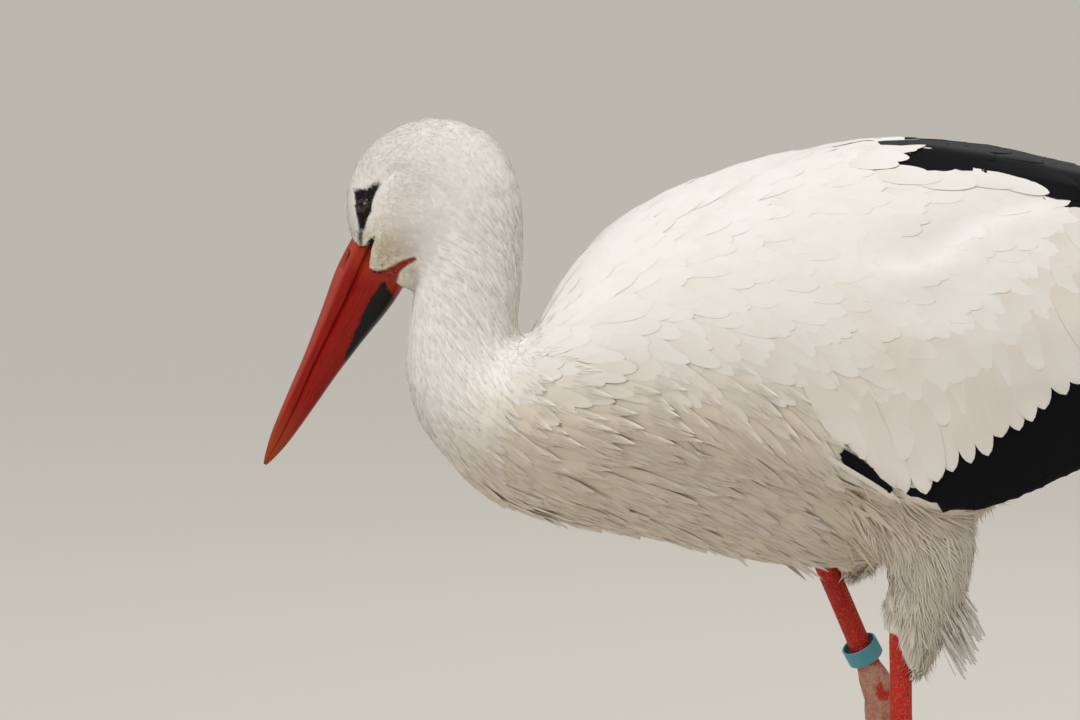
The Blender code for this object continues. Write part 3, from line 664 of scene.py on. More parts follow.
def strand(root, bend, length, width, steps):
    """A thin blade from the root of a feather, leaning to one side, that tapers to a point."""
    rows = []
    for k in range(steps + 1):
        t = k / steps
        middle = root + bend * t ** 1.3
        half = width * (0.6 + 0.4 * math.sin(math.pi * min(t + 0.1, 1.0))) * (1 - t ** 4)
        lift = t ** 0.8
        if k == steps:
            rows.append([(middle, length, lift)])
        else:
            rows.append([(middle - half, length * t, lift), (middle + half, length * t, lift)])
    return rows


def tuft_shapes():
    """Velvet of the head: a few short hairs side by side."""
    random = np.random.default_rng(3)
    shapes = []
    for n in range(3):
        blades = [strand(r * 0.6, r * 0.8 + random.normal(0, 0.12), random.uniform(0.75, 1.0), 0.26, steps=2)
                  for r in (-0.8, 0.0, 0.8)]
        shapes.append(feather_mesh(f"tuft_{n}", blades))
    return shapes


def vane(width_at, crown, steps, columns, bow):
    """A closed vane: width_at gives its half width along its length, its edges fall by crown, and its tip lies bow
    to one side."""
    rows = []
    for k in range(steps + 1):
        t = min(1 - (1 - k / steps) ** 1.5, 0.998)
        half = width_at(t)
        rows.append([(half * f + bow * t * t, t - 0.03 * abs(f) * half, t ** 0.8 * (1 - crown * f * f))
                     for f in np.linspace(-1, 1, columns)])
    return rows


def fringe(random, count, spread, start, width):
    """Loose barbs that stick out past a feather's tip."""
    rows = []
    for r in np.linspace(-1, 1, count):
        reach = 1.03 - 0.26 * r * r + random.uniform(-0.04, 0.04)
        lean, root = r * spread + random.normal(0, 0.05), r * spread * 0.75
        middle = (start + reach) / 2
        rows.append([[(root - width, start, start), (root + width, start, start)],
                     [(lean - width * 0.6, middle, 0.95), (lean + width * 0.6, middle, 0.95)],
                     [(lean * 1.06, reach, 1.0)]])
    return rows


def vane_shapes(name, seed, count, width_at, crown, steps, columns, bow, frayed=False):
    """Several feathers of one kind, each bowed a little its own way, with loose barbs where they are frayed."""
    random = np.random.default_rng(seed)
    shapes = []
    for n in range(count):
        blades = [vane(width_at, crown, steps, columns, random.normal(0, bow))]
        if frayed:
            blades += fringe(random, 5, 0.42, 0.55, 0.09)
        shapes.append(feather_mesh(f"{name}_{n}", blades))
    return shapes


def quill_shapes():
    """A flight feather: two stiff vanes that fall away from a raised shaft."""
    rows = []
    for t in np.concatenate([np.linspace(0, 0.8, 12), [0.86, 0.91, 0.95, 0.975, 0.99, 0.998]]):
        half = (0.55 + 0.45 * math.sin(math.pi / 2 * min(t * 3, 1))) * (1 - t ** 7) ** 0.5
        rows.append([(half * f, t - 0.03 * abs(f) * half, t * (1 - 0.35 * f * f) - 0.12 * abs(f))
                     for f in (-1, -0.6, -0.12, 0, 0.12, 0.6, 1)])
    return [feather_mesh("quill", [rows])]


# Half widths of a vane along its length.
def lance(t):
    return (0.4 + 0.6 * math.sin(min(t / 0.55, 1) * math.pi / 2)) * (1 - t ** 2.6) ** 0.9


def rounded_blade(t):
    return (0.6 + 0.4 * min(t * 3, 1)) * (1 - t ** 4) ** 0.5


def blunt_blade(t):
    return (0.7 + 0.3 * min(t * 2, 1)) * (1 - t ** 8) ** 0.5


def shape_box(name, meshes):
    """A collection that holds the shapes of one kind of feather, for the trees to pick from."""
    box = bpy.data.collections.new(name)
    for mesh in meshes:
        box.objects.link(bpy.data.objects.new(mesh.name, mesh))
    return box


# ---------------------------------------------------------------- trees that lay the feathers
def put(tree, kind, inputs=(), **settings):
    """Adds a node. inputs maps a socket's name or number to a value or to another node's output."""
    node = tree.nodes.new(kind)
    for name, value in settings.items():
        setattr(node, name, value)
    for key, value in dict(inputs).items():
        if isinstance(key, int):
            socket = node.inputs[key]
        else:
            socket = next(s for s in node.inputs if s.name == key and s.enabled)
        if isinstance(value, bpy.types.NodeSocket):
            tree.links.new(value, socket)
        elif isinstance(value, bpy.types.Node):
            tree.links.new(value.outputs[0], socket)
        else:
            socket.default_value = value
    return node


def field(tree, name, kind="FLOAT"):
    """A value kept on the geometry under this name."""
    return put(tree, "GeometryNodeInputNamedAttribute", {"Name": name}, data_type=kind).outputs[0]


def maths(tree, operation, a, b=0.0, c=0.0):
    return put(tree, "ShaderNodeMath", {0: a, 1: b, 2: c}, operation=operation).outputs[0]


def times(tree, a, b):
    return maths(tree, "MULTIPLY", a, b)


def times_plus(tree, a, b, c):
    """a times b, plus c."""
    return maths(tree, "MULTIPLY_ADD", a, b, c)


def vector_of(tree, operation, a, b=(0, 0, 0), scale=None):
    inputs = {0: a, 1: b}
    if scale is not None:
        inputs["Scale"] = scale
    return put(tree, "ShaderNodeVectorMath", inputs, operation=operation).outputs[0]


def chance(tree, low, high, seed, number):
    """A random number for each point, from the tree's seed and a number of its own."""
    return put(tree, "FunctionNodeRandomValue", {"Min": low, "Max": high,
               "Seed": times_plus(tree, seed, 31.0, float(number))}, data_type="FLOAT").outputs[1]


def keep(tree, geometry, name, value, kind="FLOAT", domain="POINT"):
    """The geometry with a value stored on it under a name."""
    return put(tree, "GeometryNodeStoreNamedAttribute", {"Geometry": geometry, "Name": name, "Value": value},
               data_type=kind, domain=domain).outputs[0]


def without(tree, geometry, *names):
    """The geometry without the values kept under these names."""
    for name in names:
        geometry = put(tree, "GeometryNodeRemoveAttribute", {"Geometry": geometry, "Name": name},
                       pattern_mode="WILDCARD").outputs[0]
    return geometry


FEATHER_INPUTS = (
    # where they grow: over the skin by the density of a zone, or at the points given
    ("Scatter", "NodeSocketBool", True), ("Skin", "NodeSocketObject", None), ("Zone", "NodeSocketString", ""),
    ("Spacing", "NodeSocketFloat", 0.004), ("Most", "NodeSocketFloat", 1e5),
    # what they are: width and stand as shares of the skin's own, turn to either side, change of length
    ("Shapes", "NodeSocketCollection", None), ("Wide", "NodeSocketFloat", 1.0), ("Stand", "NodeSocketFloat", 1.0),
    ("Ruffle", "NodeSocketFloat", 0.2), ("Vary", "NodeSocketFloat", 1.0),
    # how they lie: height of the root, how far a point may come down to the skin, and how far off the skin a
    # feather may start before it is left out
    ("Base", "NodeSocketFloat", -0.0005), ("Reach", "NodeSocketFloat", 0.022), ("Trim", "NodeSocketFloat", 0.020),
    # how much of the skin's smooth shading they take
    ("Soft", "NodeSocketFloat", 0.5),
    ("Seed", "NodeSocketInt", 1), ("Finish", "NodeSocketMaterial", None),
)


def grow_roots(tree, given):
    """Roots over the skin, or the points given, each with its own lift, tone and roll."""
    seed = given["Seed"]
    zone = put(tree, "GeometryNodeInputNamedAttribute", {"Name": given["Zone"]}, data_type="FLOAT").outputs[0]
    scattered = put(tree, "GeometryNodeDistributePointsOnFaces", {
        "Mesh": given["Geometry"], "Distance Min": given["Spacing"], "Density Max": given["Most"],
        "Density Factor": zone, "Seed": seed}, distribute_method="POISSON").outputs["Points"]
    roots = put(tree, "GeometryNodeSwitch", {"Switch": given["Scatter"], "False": given["Geometry"],
                "True": scattered}, input_type="GEOMETRY").outputs[0]
    roots = without(tree, roots, "grow_*")
    spread = maths(tree, "POWER", chance(tree, 0.0, 1.0, seed, 1), 3.0)
    lift = times(tree, field(tree, "depth"), times(tree, given["Stand"], times_plus(tree, spread, 0.55, 0.75)))
    roots = keep(tree, roots, "lift", lift)
    roots = keep(tree, roots, "tone", chance(tree, 0.0, 1.0, seed, 2))
    roots = keep(tree, roots, "roll", chance(tree, -1.0, 1.0, seed, 3))
    return keep(tree, roots, "feather", put(tree, "GeometryNodeInputIndex").outputs[0], "INT")


def lay_shapes(tree, given, roots):
    """A feather at each root, turned along the lie and sized by the skin."""
    seed = given["Seed"]
    upright = put(tree, "FunctionNodeAlignRotationToVector", {"Vector": field(tree, "out", "FLOAT_VECTOR")},
                  axis="Z")
    laid = put(tree, "FunctionNodeAlignRotationToVector", {"Rotation": upright.outputs[0],
               "Vector": field(tree, "lie", "FLOAT_VECTOR")}, axis="Y", pivot_axis="Z")
    bias = times(tree, given["Ruffle"], chance(tree, -1.0, 1.0, seed, 4))
    turn = put(tree, "FunctionNodeEulerToRotation", {0: put(tree, "ShaderNodeCombineXYZ", {"Z": bias}).outputs[0]})
    turned = put(tree, "FunctionNodeRotateRotation", {"Rotation": laid.outputs[0], "Rotate By": turn.outputs[0]},
                 rotation_space="LOCAL")
    wide = times(tree, times(tree, field(tree, "plume_width"), 0.5),
                 times(tree, given["Wide"], chance(tree, 0.8, 1.2, seed, 5)))
    long = times(tree, field(tree, "plume_length"),
                 times_plus(tree, chance(tree, -0.22, 0.15, seed, 6), given["Vary"], 1.0))
    size = put(tree, "ShaderNodeCombineXYZ", {"X": wide, "Y": long, "Z": 0.001}).outputs[0]
    shapes = put(tree, "GeometryNodeCollectionInfo", {"Collection": given["Shapes"], "Separate Children": True})
    pick = put(tree, "FunctionNodeRandomValue", {"Min": 0, "Max": 7, "Seed": seed}, data_type="INT").outputs[2]
    placed = put(tree, "GeometryNodeInstanceOnPoints", {
        "Points": roots, "Instance": shapes.outputs[0], "Pick Instance": True, "Instance Index": pick,
        "Rotation": turned.outputs[0], "Scale": size}).outputs[0]
    return put(tree, "GeometryNodeRealizeInstances", {"Geometry": placed}).outputs[0]


def bring_down(tree, given, coat, skin):
    """Every point of every feather at its own height over the skin, so that the coat follows the body. Returns the
    coat and the skin's way out at each point."""
    here = put(tree, "GeometryNodeInputPosition").outputs[0]
    below = put(tree, "GeometryNodeProximity", {0: skin}, target_element="FACES").outputs["Position"]
    way = vector_of(tree, "SUBTRACT", below, here)
    far = put(tree, "ShaderNodeVectorMath", {0: way}, operation="LENGTH").outputs["Value"]
    stray = put(tree, "GeometryNodeAccumulateField", {
        "Value": maths(tree, "GREATER_THAN", far, given["Trim"]), "Group ID": field(tree, "feather", "INT"),
    }, data_type="FLOAT", domain="POINT").outputs["Total"]
    coat = put(tree, "GeometryNodeDeleteGeometry", {"Geometry": coat, "Selection": stray},
               domain="POINT").outputs[0]
    part = maths(tree, "MINIMUM", 1.0, maths(tree, "DIVIDE", given["Reach"], maths(tree, "ADD", far, 1e-6)))
    below = vector_of(tree, "ADD", here, vector_of(tree, "SCALE", way, scale=part))
    up = put(tree, "GeometryNodeSampleNearestSurface", {"Mesh": skin, "Value": field(tree, "out", "FLOAT_VECTOR"),
             "Sample Position": here}, data_type="FLOAT_VECTOR").outputs[0]
    tilt = times(tree, times(tree, field(tree, "side"), field(tree, "roll")), 0.16)
    height = times_plus(tree, maths(tree, "ADD", field(tree, "rise"), tilt), field(tree, "lift"), given["Base"])
    lifted = vector_of(tree, "SCALE", vector_of(tree, "NORMALIZE", up), scale=height)
    coat = put(tree, "GeometryNodeSetPosition", {"Geometry": coat,
               "Position": vector_of(tree, "ADD", below, lifted)}).outputs[0]
    return coat, up


def feather_tree():
    """The tree that lays feathers over a skin: roots, a feather at each, its place over the skin, its patch of the
    colour map, its shading and its finish."""
    tree = bpy.data.node_groups.new("lay_feathers", "GeometryNodeTree")
    tree.interface.new_socket("Geometry", in_out="INPUT", socket_type="NodeSocketGeometry")
    for name, kind, value in FEATHER_INPUTS:
        socket = tree.interface.new_socket(name, in_out="INPUT", socket_type=kind)
        if value is not None:
            socket.default_value = value
    tree.interface.new_socket("Geometry", in_out="OUTPUT", socket_type="NodeSocketGeometry")
    given = put(tree, "NodeGroupInput").outputs
    skin = put(tree, "GeometryNodeObjectInfo", {"Object": given["Skin"]}).outputs["Geometry"]
    coat = lay_shapes(tree, given, grow_roots(tree, given))
    coat, up = bring_down(tree, given, coat, skin)
    patch = put(tree, "ShaderNodeCombineXYZ", {"X": times(tree, field(tree, "side"), TUFT_PATCH / 2),
                "Y": times(tree, field(tree, "share"), TUFT_PATCH)}).outputs[0]
    coat = keep(tree, coat, "OFBake", vector_of(tree, "ADD", field(tree, "skin_map", "FLOAT_VECTOR"), patch),
                "FLOAT2", "CORNER")
    coat = put(tree, "GeometryNodeSetShadeSmooth", {"Geometry": coat, "Shade Smooth": True}).outputs[0]
    own = put(tree, "GeometryNodeInputNormal").outputs[0]
    facing = put(tree, "ShaderNodeMix", {0: given["Soft"], 4: own, 5: up}, data_type="VECTOR").outputs[1]
    coat = put(tree, "GeometryNodeSetMeshNormal", {"Mesh": coat, "Custom Normal": vector_of(
        tree, "NORMALIZE", facing)}, mode="FREE", domain="POINT").outputs[0]
    coat = without(tree, coat, "feather", "lie", "out", "skin_map", "plume_*", "rise", "roll", "lift", "depth")
    coat = put(tree, "GeometryNodeSetMaterial", {"Geometry": coat, "Material": given["Finish"]}).outputs[0]
    put(tree, "NodeGroupOutput", {"Geometry": coat})
    return tree


def feathers(name, host, slot, **inputs):
    """A coat piece laid by the tree on the host's mesh, as plain mesh on the body."""
    grown = link(name, host.data.copy())
    laying = grown.modifiers.new("feathers", "NODES")
    laying.node_group = LAY
    known = {item.name: item.identifier for item in LAY.interface.items_tree if item.in_out == "INPUT"}
    for key, value in inputs.items():
        laying[known[key]] = value
    settled(grown, name)
    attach(grown, BODY)


def wing_part(skin):
    """The wings' share of the skin alone, for feathers that must not fall on the thighs or the tail."""
    alone = link("wing_surface", skin.data.copy())
    with reworked(alone.data) as work:
        share = work.verts.layers.float["on_wing"]
        bmesh.ops.delete(work, geom=[v for v in work.verts if v[share] < 0.4], context="VERTS")
    return alone


def surface_tree(thing):
    """The surface as a tree to cast on. Its faces keep their numbers."""
    mesh = thing.data
    return BVHTree.FromPolygons([v.co for v in mesh.vertices], [tuple(p.vertices) for p in mesh.polygons])


def map_place(skin, face):
    """Where a face lies on the skin's flat map, with a third number for the attribute that keeps it."""
    return *skin.data.uv_layers["skin_map"].data[skin.data.polygons[face].loop_start].uv, 0


def on_skin(skin, tree, x, z, side):
    """The point of the skin's side at a place given in side view, the way out there and its place on the map."""
    hit, _, face, _ = tree.ray_cast(Vector((x, side * 0.3, z)), Vector((0, -side, 0)))
    if hit is None:
        hit, _, face, _ = tree.find_nearest(Vector((x, side * 0.05, z)))
    out = skin.data.attributes["out"].data[skin.data.polygons[face].vertices[0]].vector.copy()
    return hit, out, map_place(skin, face)


def lay_singly(name, slot, skin, roots, sizes, **inputs):
    """Feathers at chosen roots. roots gives each one's place, lie, way out and place on the map; sizes gives what
    the tree reads there besides, as one number or one for each root."""
    spots, ways, outs, maps = zip(*roots)
    host = bpy.data.objects.new(f"{name}_roots", mesh_of(f"{name}_roots", spots, []))
    for key, vectors in (("lie", ways), ("out", outs), ("skin_map", maps)):
        write(host.data, key, vectors, "FLOAT_VECTOR")
    for key, values in sizes.items():
        write(host.data, key, np.broadcast_to(values, len(roots)))
    feathers(name, host, slot, Scatter=False, Skin=skin, Zone="", Trim=1.0, **inputs)


def row_of_feathers(name, slot, tips, lean, length, width, depth, cream=0.0, **inputs):
    """Feathers laid one by one on both wings. tips are their ends in side view; lean is each one's angle below the
    level, in degrees. Each lies over the one before it."""
    lean, length, width, depth = (np.broadcast_to(v, len(tips)) for v in (lean, length, width, depth))
    tree = surface_tree(WINGS)
    roots = []
    for _, side in SIDES:
        for (x, z), slant, reach in zip(tips, np.radians(lean), length):
            root, out, place = on_skin(WINGS, tree, x - reach * math.cos(slant), z + reach * math.sin(slant), side)
            tip = on_skin(WINGS, tree, x, z, side)[0]
            roots.append((root, (tip - root).normalized(), out, place))
    sizes = {"plume_length": length, "plume_width": width, "depth": depth}
    sizes = {key: np.tile(values, 2) for key, values in sizes.items()}
    # cream on these rows is painted shade, more on the lower rows of the wing.
    lay_singly(name, slot, WINGS, roots, {**sizes, "cream": cream}, **inputs)


def loose_plumes(skin):
    """Long loose plumes that hang free behind the thighs."""
    random = np.random.default_rng(51)
    tree = surface_tree(skin)
    roots = []
    for word, count, top in (("left", 90, 0.058), ("right", 24, 0.045)):
        low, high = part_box(f"thigh_{word}")
        for _ in range(count):
            start = Vector((high.x + 0.1, (low.y + high.y) / 2 + random.uniform(-0.012, 0.012),
                            low.z + random.uniform(0.024, top)))
            hit, _, face, _ = tree.ray_cast(start, Vector((-1, 0, 0)))
            if hit is None:
                continue
            way = Vector((random.uniform(0.0, 0.55), random.uniform(-0.2, 0.2), -1)).normalized()
            out = Vector((1, random.uniform(-0.3, 0.3), 0.45)).normalized()
            roots.append((hit, way, out, map_place(skin, face)))
    sizes = {key: random.uniform(low, high, len(roots)) for key, low, high in (
        ("plume_length", 0.016, 0.032), ("plume_width", 0.0010, 0.0019), ("depth", 0.001, 0.010))}
    # Painted shade and warm bounce light, as cream, on these plumes under the body.
    lay_singly("coat_loose", "white_plumage", skin, roots, {**sizes, "cream": 0.3}, Reach=0.0,
               Shapes=SHAPES["plumes"], Ruffle=0.2, Seed=52, Finish=WHITE)


def keel_plumes(skin):
    """Pointed plumes whose tips stand a little off the belly's lower edge."""
    random = np.random.default_rng(61)
    tree = surface_tree(skin)
    roots, lengths = [], []
    for side, (x, z) in ((side, tip) for _, side in SIDES for tip in BELLY_TIPS for _ in range(5)):
        tip = Vector((x + random.uniform(-0.010, 0.003), side * random.uniform(0.004, 0.028),
                      z + random.uniform(0.0, 0.005)))
        root, out, place = on_skin(skin, tree, tip.x - random.uniform(0.036, 0.048),
                                   tip.z + random.uniform(0.007, 0.013), side)
        roots.append((root, (tip - root).normalized(), out, place))
        lengths.append(min((tip - root).length, 0.060))
    # Painted shade and warm bounce light, as cream, on these plumes under the body.
    lay_singly("coat_keel", "white_plumage", skin, roots,
               {"plume_length": lengths, "plume_width": 0.0075, "depth": 0.0008, "cream": 0.25},
               Reach=0.0, Vary=0.0, Shapes=SHAPES["plumes"], Ruffle=0.05, Seed=62, Finish=WHITE)


def along_line(line, count, start=0.0, end=1.0):
    """Evenly spaced places on a line drawn in side view."""
    line = np.array(line)
    reach = np.concatenate([[0], np.cumsum(np.linalg.norm(np.diff(line, axis=0), axis=1))])
    at = np.linspace(start, end, count) * reach[-1]
    return list(zip(np.interp(at, reach, line[:, 0]), np.interp(at, reach, line[:, 1])))


# ---------------------------------------------------------------- finishes
def finish_named(name, colour, roughness, **sockets):
    """A material, its tree and its shader. sockets are further settings of the shader, _ for each space."""
    made = bpy.data.materials.new(name)
    made.use_nodes = True
    shader = made.node_tree.nodes["Principled BSDF"]
    shader.inputs["Base Color"].default_value = (*colour, 1)
    shader.inputs["Roughness"].default_value = roughness
    for key, value in sockets.items():
        shader.inputs[key.replace("_", " ")].default_value = value
    return made, made.node_tree, shader


def named(tree, name):
    """A number kept on the mesh under this name."""
    return put(tree, "ShaderNodeAttribute", attribute_name=name).outputs[2]


def blend(tree, share, a, b, mode="MIX"):
    """Colour a mixed towards colour b by a share."""
    node = put(tree, "ShaderNodeMix", data_type="RGBA", blend_type=mode)
    for socket, value in zip((node.inputs[0], node.inputs[6], node.inputs[7]), (share, a, b)):
        if isinstance(value, bpy.types.NodeSocket):
            tree.links.new(value, socket)
        else:
            socket.default_value = value if isinstance(value, float) else (*value, 1)
    return node.outputs[2]


def ramp(tree, value, low, high, clamp=True):
    """0 at low and 1 at high, smooth between; low may be the larger."""
    return put(tree, "ShaderNodeMapRange", {"Value": value, "From Min": low, "From Max": high},
               interpolation_type="SMOOTHSTEP", clamp=clamp).outputs[0]


def noise(tree, scale, detail=3.0, stretch=None):
    """A soft random pattern fixed to the piece, finer as scale grows."""
    where = put(tree, "ShaderNodeTexCoord").outputs["Object"]
    if stretch:
        where = put(tree, "ShaderNodeMapping", {"Vector": where, "Scale": stretch}).outputs[0]
    return put(tree, "ShaderNodeTexNoise", {"Vector": where, "Scale": scale, "Detail": detail}).outputs[0]


def white_feather():
    """White, with painted shade: a little darker and warmer at the root, tan where cream is high and browner towards
    the root there, with faint stains over several feathers.
    """
    made, tree, shader = finish_named("white_feather", (0.83, 0.80, 0.74), 0.75, Sheen_Weight=0.2,
                                      Sheen_Roughness=0.5, Specular_IOR_Level=0.2)
    root, blade, dull = (0.80, 0.76, 0.70), (0.84, 0.82, 0.78), (0.78, 0.73, 0.65)
    cream_and_shade_tint, painted_root_shade, stain_tint = (0.60, 0.50, 0.33), (0.44, 0.33, 0.19), (0.72, 0.62, 0.49)
    # Painted shade: each feather darker and warmer towards its root, for depth between feathers.
    colour = blend(tree, ramp(tree, named(tree, "share"), 0.05, 0.55), root, blade)
    colour = blend(tree, times(tree, named(tree, "tone"), 0.35), colour, dull)
    # Towards the tan of cream: a real cream on the cheeks, painted shade and warm bounce light on the underside and
    # the lower wing.
    cream = named(tree, "cream")
    colour = blend(tree, times(tree, cream, 0.55), colour, cream_and_shade_tint)
    # Painted shade between feathers: browner towards the root where cream is high.
    shade = ramp(tree, named(tree, "share"), 0.95, 0.50)
    colour = blend(tree, times(tree, times(tree, shade, cream), 0.42), colour, painted_root_shade)
    stain = ramp(tree, noise(tree, 14, 4), 0.50, 0.75)
    colour = blend(tree, times(tree, stain, 0.30), colour, stain_tint)
    tree.links.new(colour, shader.inputs["Base Color"])
    return made


def black_feather():
    """Dull black, a little browner along the edges."""
    made, tree, shader = finish_named("black_feather", (0.012, 0.012, 0.014), 0.5, Specular_IOR_Level=0.08)
    edge = ramp(tree, maths(tree, "ABSOLUTE", named(tree, "side")), 0.80, 1.0)
    colour = blend(tree, times(tree, edge, 0.5), (0.004, 0.004, 0.005), (0.012, 0.011, 0.010))
    tree.links.new(colour, shader.inputs["Base Color"])
    return made


def skin_finish():
    """What shows between the feathers, with their own markings, a painted shadow line at the cheek lobe and painted
    shade by cream, and the bare red flesh of the gape.
    """
    made, tree, shader = finish_named("white_skin", (0.62, 0.55, 0.46), 0.8)
    # Towards tan by cream: a real cream on the cheeks, painted shade and warm bounce light on the underside and the
    # lower wing.
    colour = blend(tree, named(tree, "cream"), (0.82, 0.79, 0.74), (0.74, 0.66, 0.48))
    # Black marks, with the painted shadow line along the cheek lobe's edge.
    colour = blend(tree, named(tree, "black"), colour, (0.006, 0.006, 0.006))
    flesh = blend(tree, ramp(tree, noise(tree, 350, 4), 0.35, 0.65), (0.36, 0.020, 0.008), (0.16, 0.008, 0.004))
    colour = blend(tree, named(tree, "bare"), colour, flesh)
    tree.links.new(colour, shader.inputs["Base Color"])
    return made


def bump_from(tree, shader, height, distance, strength=1.0):
    """Relief of the surface from a height between 0 and 1."""
    relief = put(tree, "ShaderNodeBump", {"Height": height, "Distance": distance, "Strength": strength})
    tree.links.new(relief.outputs[0], shader.inputs["Normal"])


def bill_horn():
    """Lacquer-red horn: streaks along its length, a painted highlight band along the upper side, a dull tip, the
    nostril slit painted dark for its shade, and the black patch of the throat side.
    """
    made, tree, shader = finish_named("bill_horn", (0.30, 0.010, 0.003), 0.32, Specular_IOR_Level=0.20)
    reach, level = named(tree, "reach"), named(tree, "level")
    along = put(tree, "ShaderNodeCombineXYZ", {"X": times(tree, reach, 4.0),
                "Y": times(tree, level, 6.0)}).outputs[0]
    streak = put(tree, "ShaderNodeTexNoise", {"Vector": along, "Scale": 3.0, "Detail": 5.0}).outputs[0]
    red, deep_red, painted_highlight_red = (0.30, 0.006, 0.002), (0.20, 0.004, 0.001), (0.54, 0.11, 0.075)
    tip_red, root_red = (0.32, 0.050, 0.012), (0.45, 0.05, 0.014)
    throat_black, nostril_painted_shade = (0.006, 0.005, 0.004), (0.035, 0.006, 0.004)
    colour = blend(tree, ramp(tree, streak, 0.35, 0.70), red, deep_red)
    # Painted highlight: a lighter, pinker band along the upper side below the ridge, where the sky would reflect.
    ridge = times(tree, ramp(tree, level, 0.42, 0.66), ramp(tree, level, 1.0, 0.86))
    colour = blend(tree, times(tree, ridge, 0.50), colour, painted_highlight_red)
    colour = blend(tree, ramp(tree, reach, 0.62, 1.0), colour, tip_red)
    colour = blend(tree, times(tree, ramp(tree, reach, 0.09, -0.02), 0.45), colour, root_red)
    mottle = noise(tree, 190, 4)
    edge = times_plus(tree, mottle, 0.22, maths(tree, "ADD", named(tree, "gular"), -0.11))
    colour = blend(tree, ramp(tree, edge, -0.03, 0.05), colour, throat_black)
    # Painted shade: the nostril slit darker inside.
    colour = blend(tree, ramp(tree, named(tree, "slit"), 0.25, 0.75), colour, nostril_painted_shade)
    tree.links.new(colour, shader.inputs["Base Color"])
    wear = times_plus(tree, streak, 0.7, times(tree, mottle, 0.3))
    tree.links.new(times_plus(tree, wear, 0.20, 0.22), shader.inputs["Roughness"])
    bump_from(tree, shader, wear, 0.0004, 0.5)
    return made


def wet_eye():
    """A dark brown iris with a black pupil under a clear cornea."""
    made, tree, shader = finish_named("wet_eye", (0.05, 0.03, 0.02), 0.10, Coat_Weight=0.35, Coat_Roughness=0.03,
                                      Specular_IOR_Level=0.25)
    angle = named(tree, "angle")
    threads = noise(tree, 900, 3)
    iris = blend(tree, ramp(tree, threads, 0.35, 0.65), (0.020, 0.010, 0.006), (0.042, 0.022, 0.011))
    colour = blend(tree, ramp(tree, angle, 0.30, 0.34), (0.002, 0.002, 0.002), iris)
    colour = blend(tree, ramp(tree, angle, 0.66, 0.74), colour, (0.012, 0.009, 0.008))
    tree.links.new(colour, shader.inputs["Base Color"])
    return made


def lid_skin():
    """Bare black skin, finely grained, a little grey on the rolled rim."""
    made, tree, shader = finish_named("lid_skin", (0.012, 0.010, 0.009), 0.48)
    grain = noise(tree, 900, 4)
    rim = ramp(tree, named(tree, "rim"), 1.25, 1.0)
    colour = blend(tree, ramp(tree, grain, 0.35, 0.7), (0.012, 0.008, 0.006), (0.052, 0.038, 0.028))
    colour = blend(tree, times(tree, rim, 0.5), colour, (0.060, 0.048, 0.040))
    tree.links.new(colour, shader.inputs["Base Color"])
    bump_from(tree, shader, grain, 0.0004, 0.7)
    return made


def leg_scales():
    """Red skin in small many-sided scales, with pale chalk dried on it where the attribute says."""
    made, tree, shader = finish_named("leg_scales", (0.55, 0.012, 0.004), 0.50, Specular_IOR_Level=0.3)
    where = put(tree, "ShaderNodeMapping", {"Vector": put(tree, "ShaderNodeTexCoord").outputs["Object"],
                "Scale": (1.0, 1.0, 0.72)}).outputs[0]
    pattern = {"Vector": where, "Scale": 430.0, "Randomness": 0.75}
    cells = put(tree, "ShaderNodeTexVoronoi", pattern, feature="DISTANCE_TO_EDGE").outputs[0]
    shade = put(tree, "ShaderNodeTexVoronoi", pattern).outputs["Color"]
    tint = put(tree, "ShaderNodeSeparateColor", {"Color": shade}).outputs[0]
    bright, deep, joint, pale_chalk, red_chalk = ((0.58, 0.014, 0.005), (0.42, 0.009, 0.004), (0.66, 0.22, 0.12),
                                                  (0.56, 0.36, 0.26), (0.46, 0.22, 0.14))
    colour = blend(tree, tint, bright, deep)
    crack = ramp(tree, cells, 0.07, 0.02)
    colour = blend(tree, times(tree, crack, 0.30), colour, joint)
    patches = times(tree, noise(tree, 70, 4), named(tree, "chalk"))
    crust = ramp(tree, times_plus(tree, tint, 0.10, patches), 0.34, 0.52)
    chalk = blend(tree, ramp(tree, noise(tree, 240, 3), 0.35, 0.7), pale_chalk, red_chalk)
    colour = blend(tree, times(tree, crust, 0.85), colour, chalk)
    tree.links.new(colour, shader.inputs["Base Color"])
    tree.links.new(times_plus(tree, crust, 0.3, 0.42), shader.inputs["Roughness"])
    bump_from(tree, shader, ramp(tree, cells, 0.0, 0.16), 0.0006, 0.75)
    return made


def claw_horn():
    """Brown horn, streaked along its growth."""
    made, tree, shader = finish_named("claw_horn", (0.16, 0.10, 0.08), 0.42, Coat_Weight=0.2, Coat_Roughness=0.3)
    streak = noise(tree, 500, 4)
    tree.links.new(blend(tree, streak, (0.09, 0.055, 0.045), (0.26, 0.17, 0.13)), shader.inputs["Base Color"])
    bump_from(tree, shader, streak, 0.0003, 0.5)
    return made


def ring_plastic():
    """Weathered blue-green plastic, paler on its edges."""
    made, tree, shader = finish_named("ring_plastic", (0.05, 0.32, 0.40), 0.42, Coat_Weight=0.1,
                                      Coat_Roughness=0.3)
    worn = ramp(tree, named(tree, "edge"), 0.3, 1.0)
    dirt = ramp(tree, noise(tree, 130, 5), 0.45, 0.75)
    colour = blend(tree, times(tree, worn, 0.6), (0.040, 0.270, 0.350), (0.18, 0.50, 0.58))
    colour = blend(tree, times(tree, dirt, 0.35), colour, (0.10, 0.20, 0.20))
    tree.links.new(colour, shader.inputs["Base Color"])
    bump_from(tree, shader, noise(tree, 700, 3), 0.0002, 0.4)
    return made


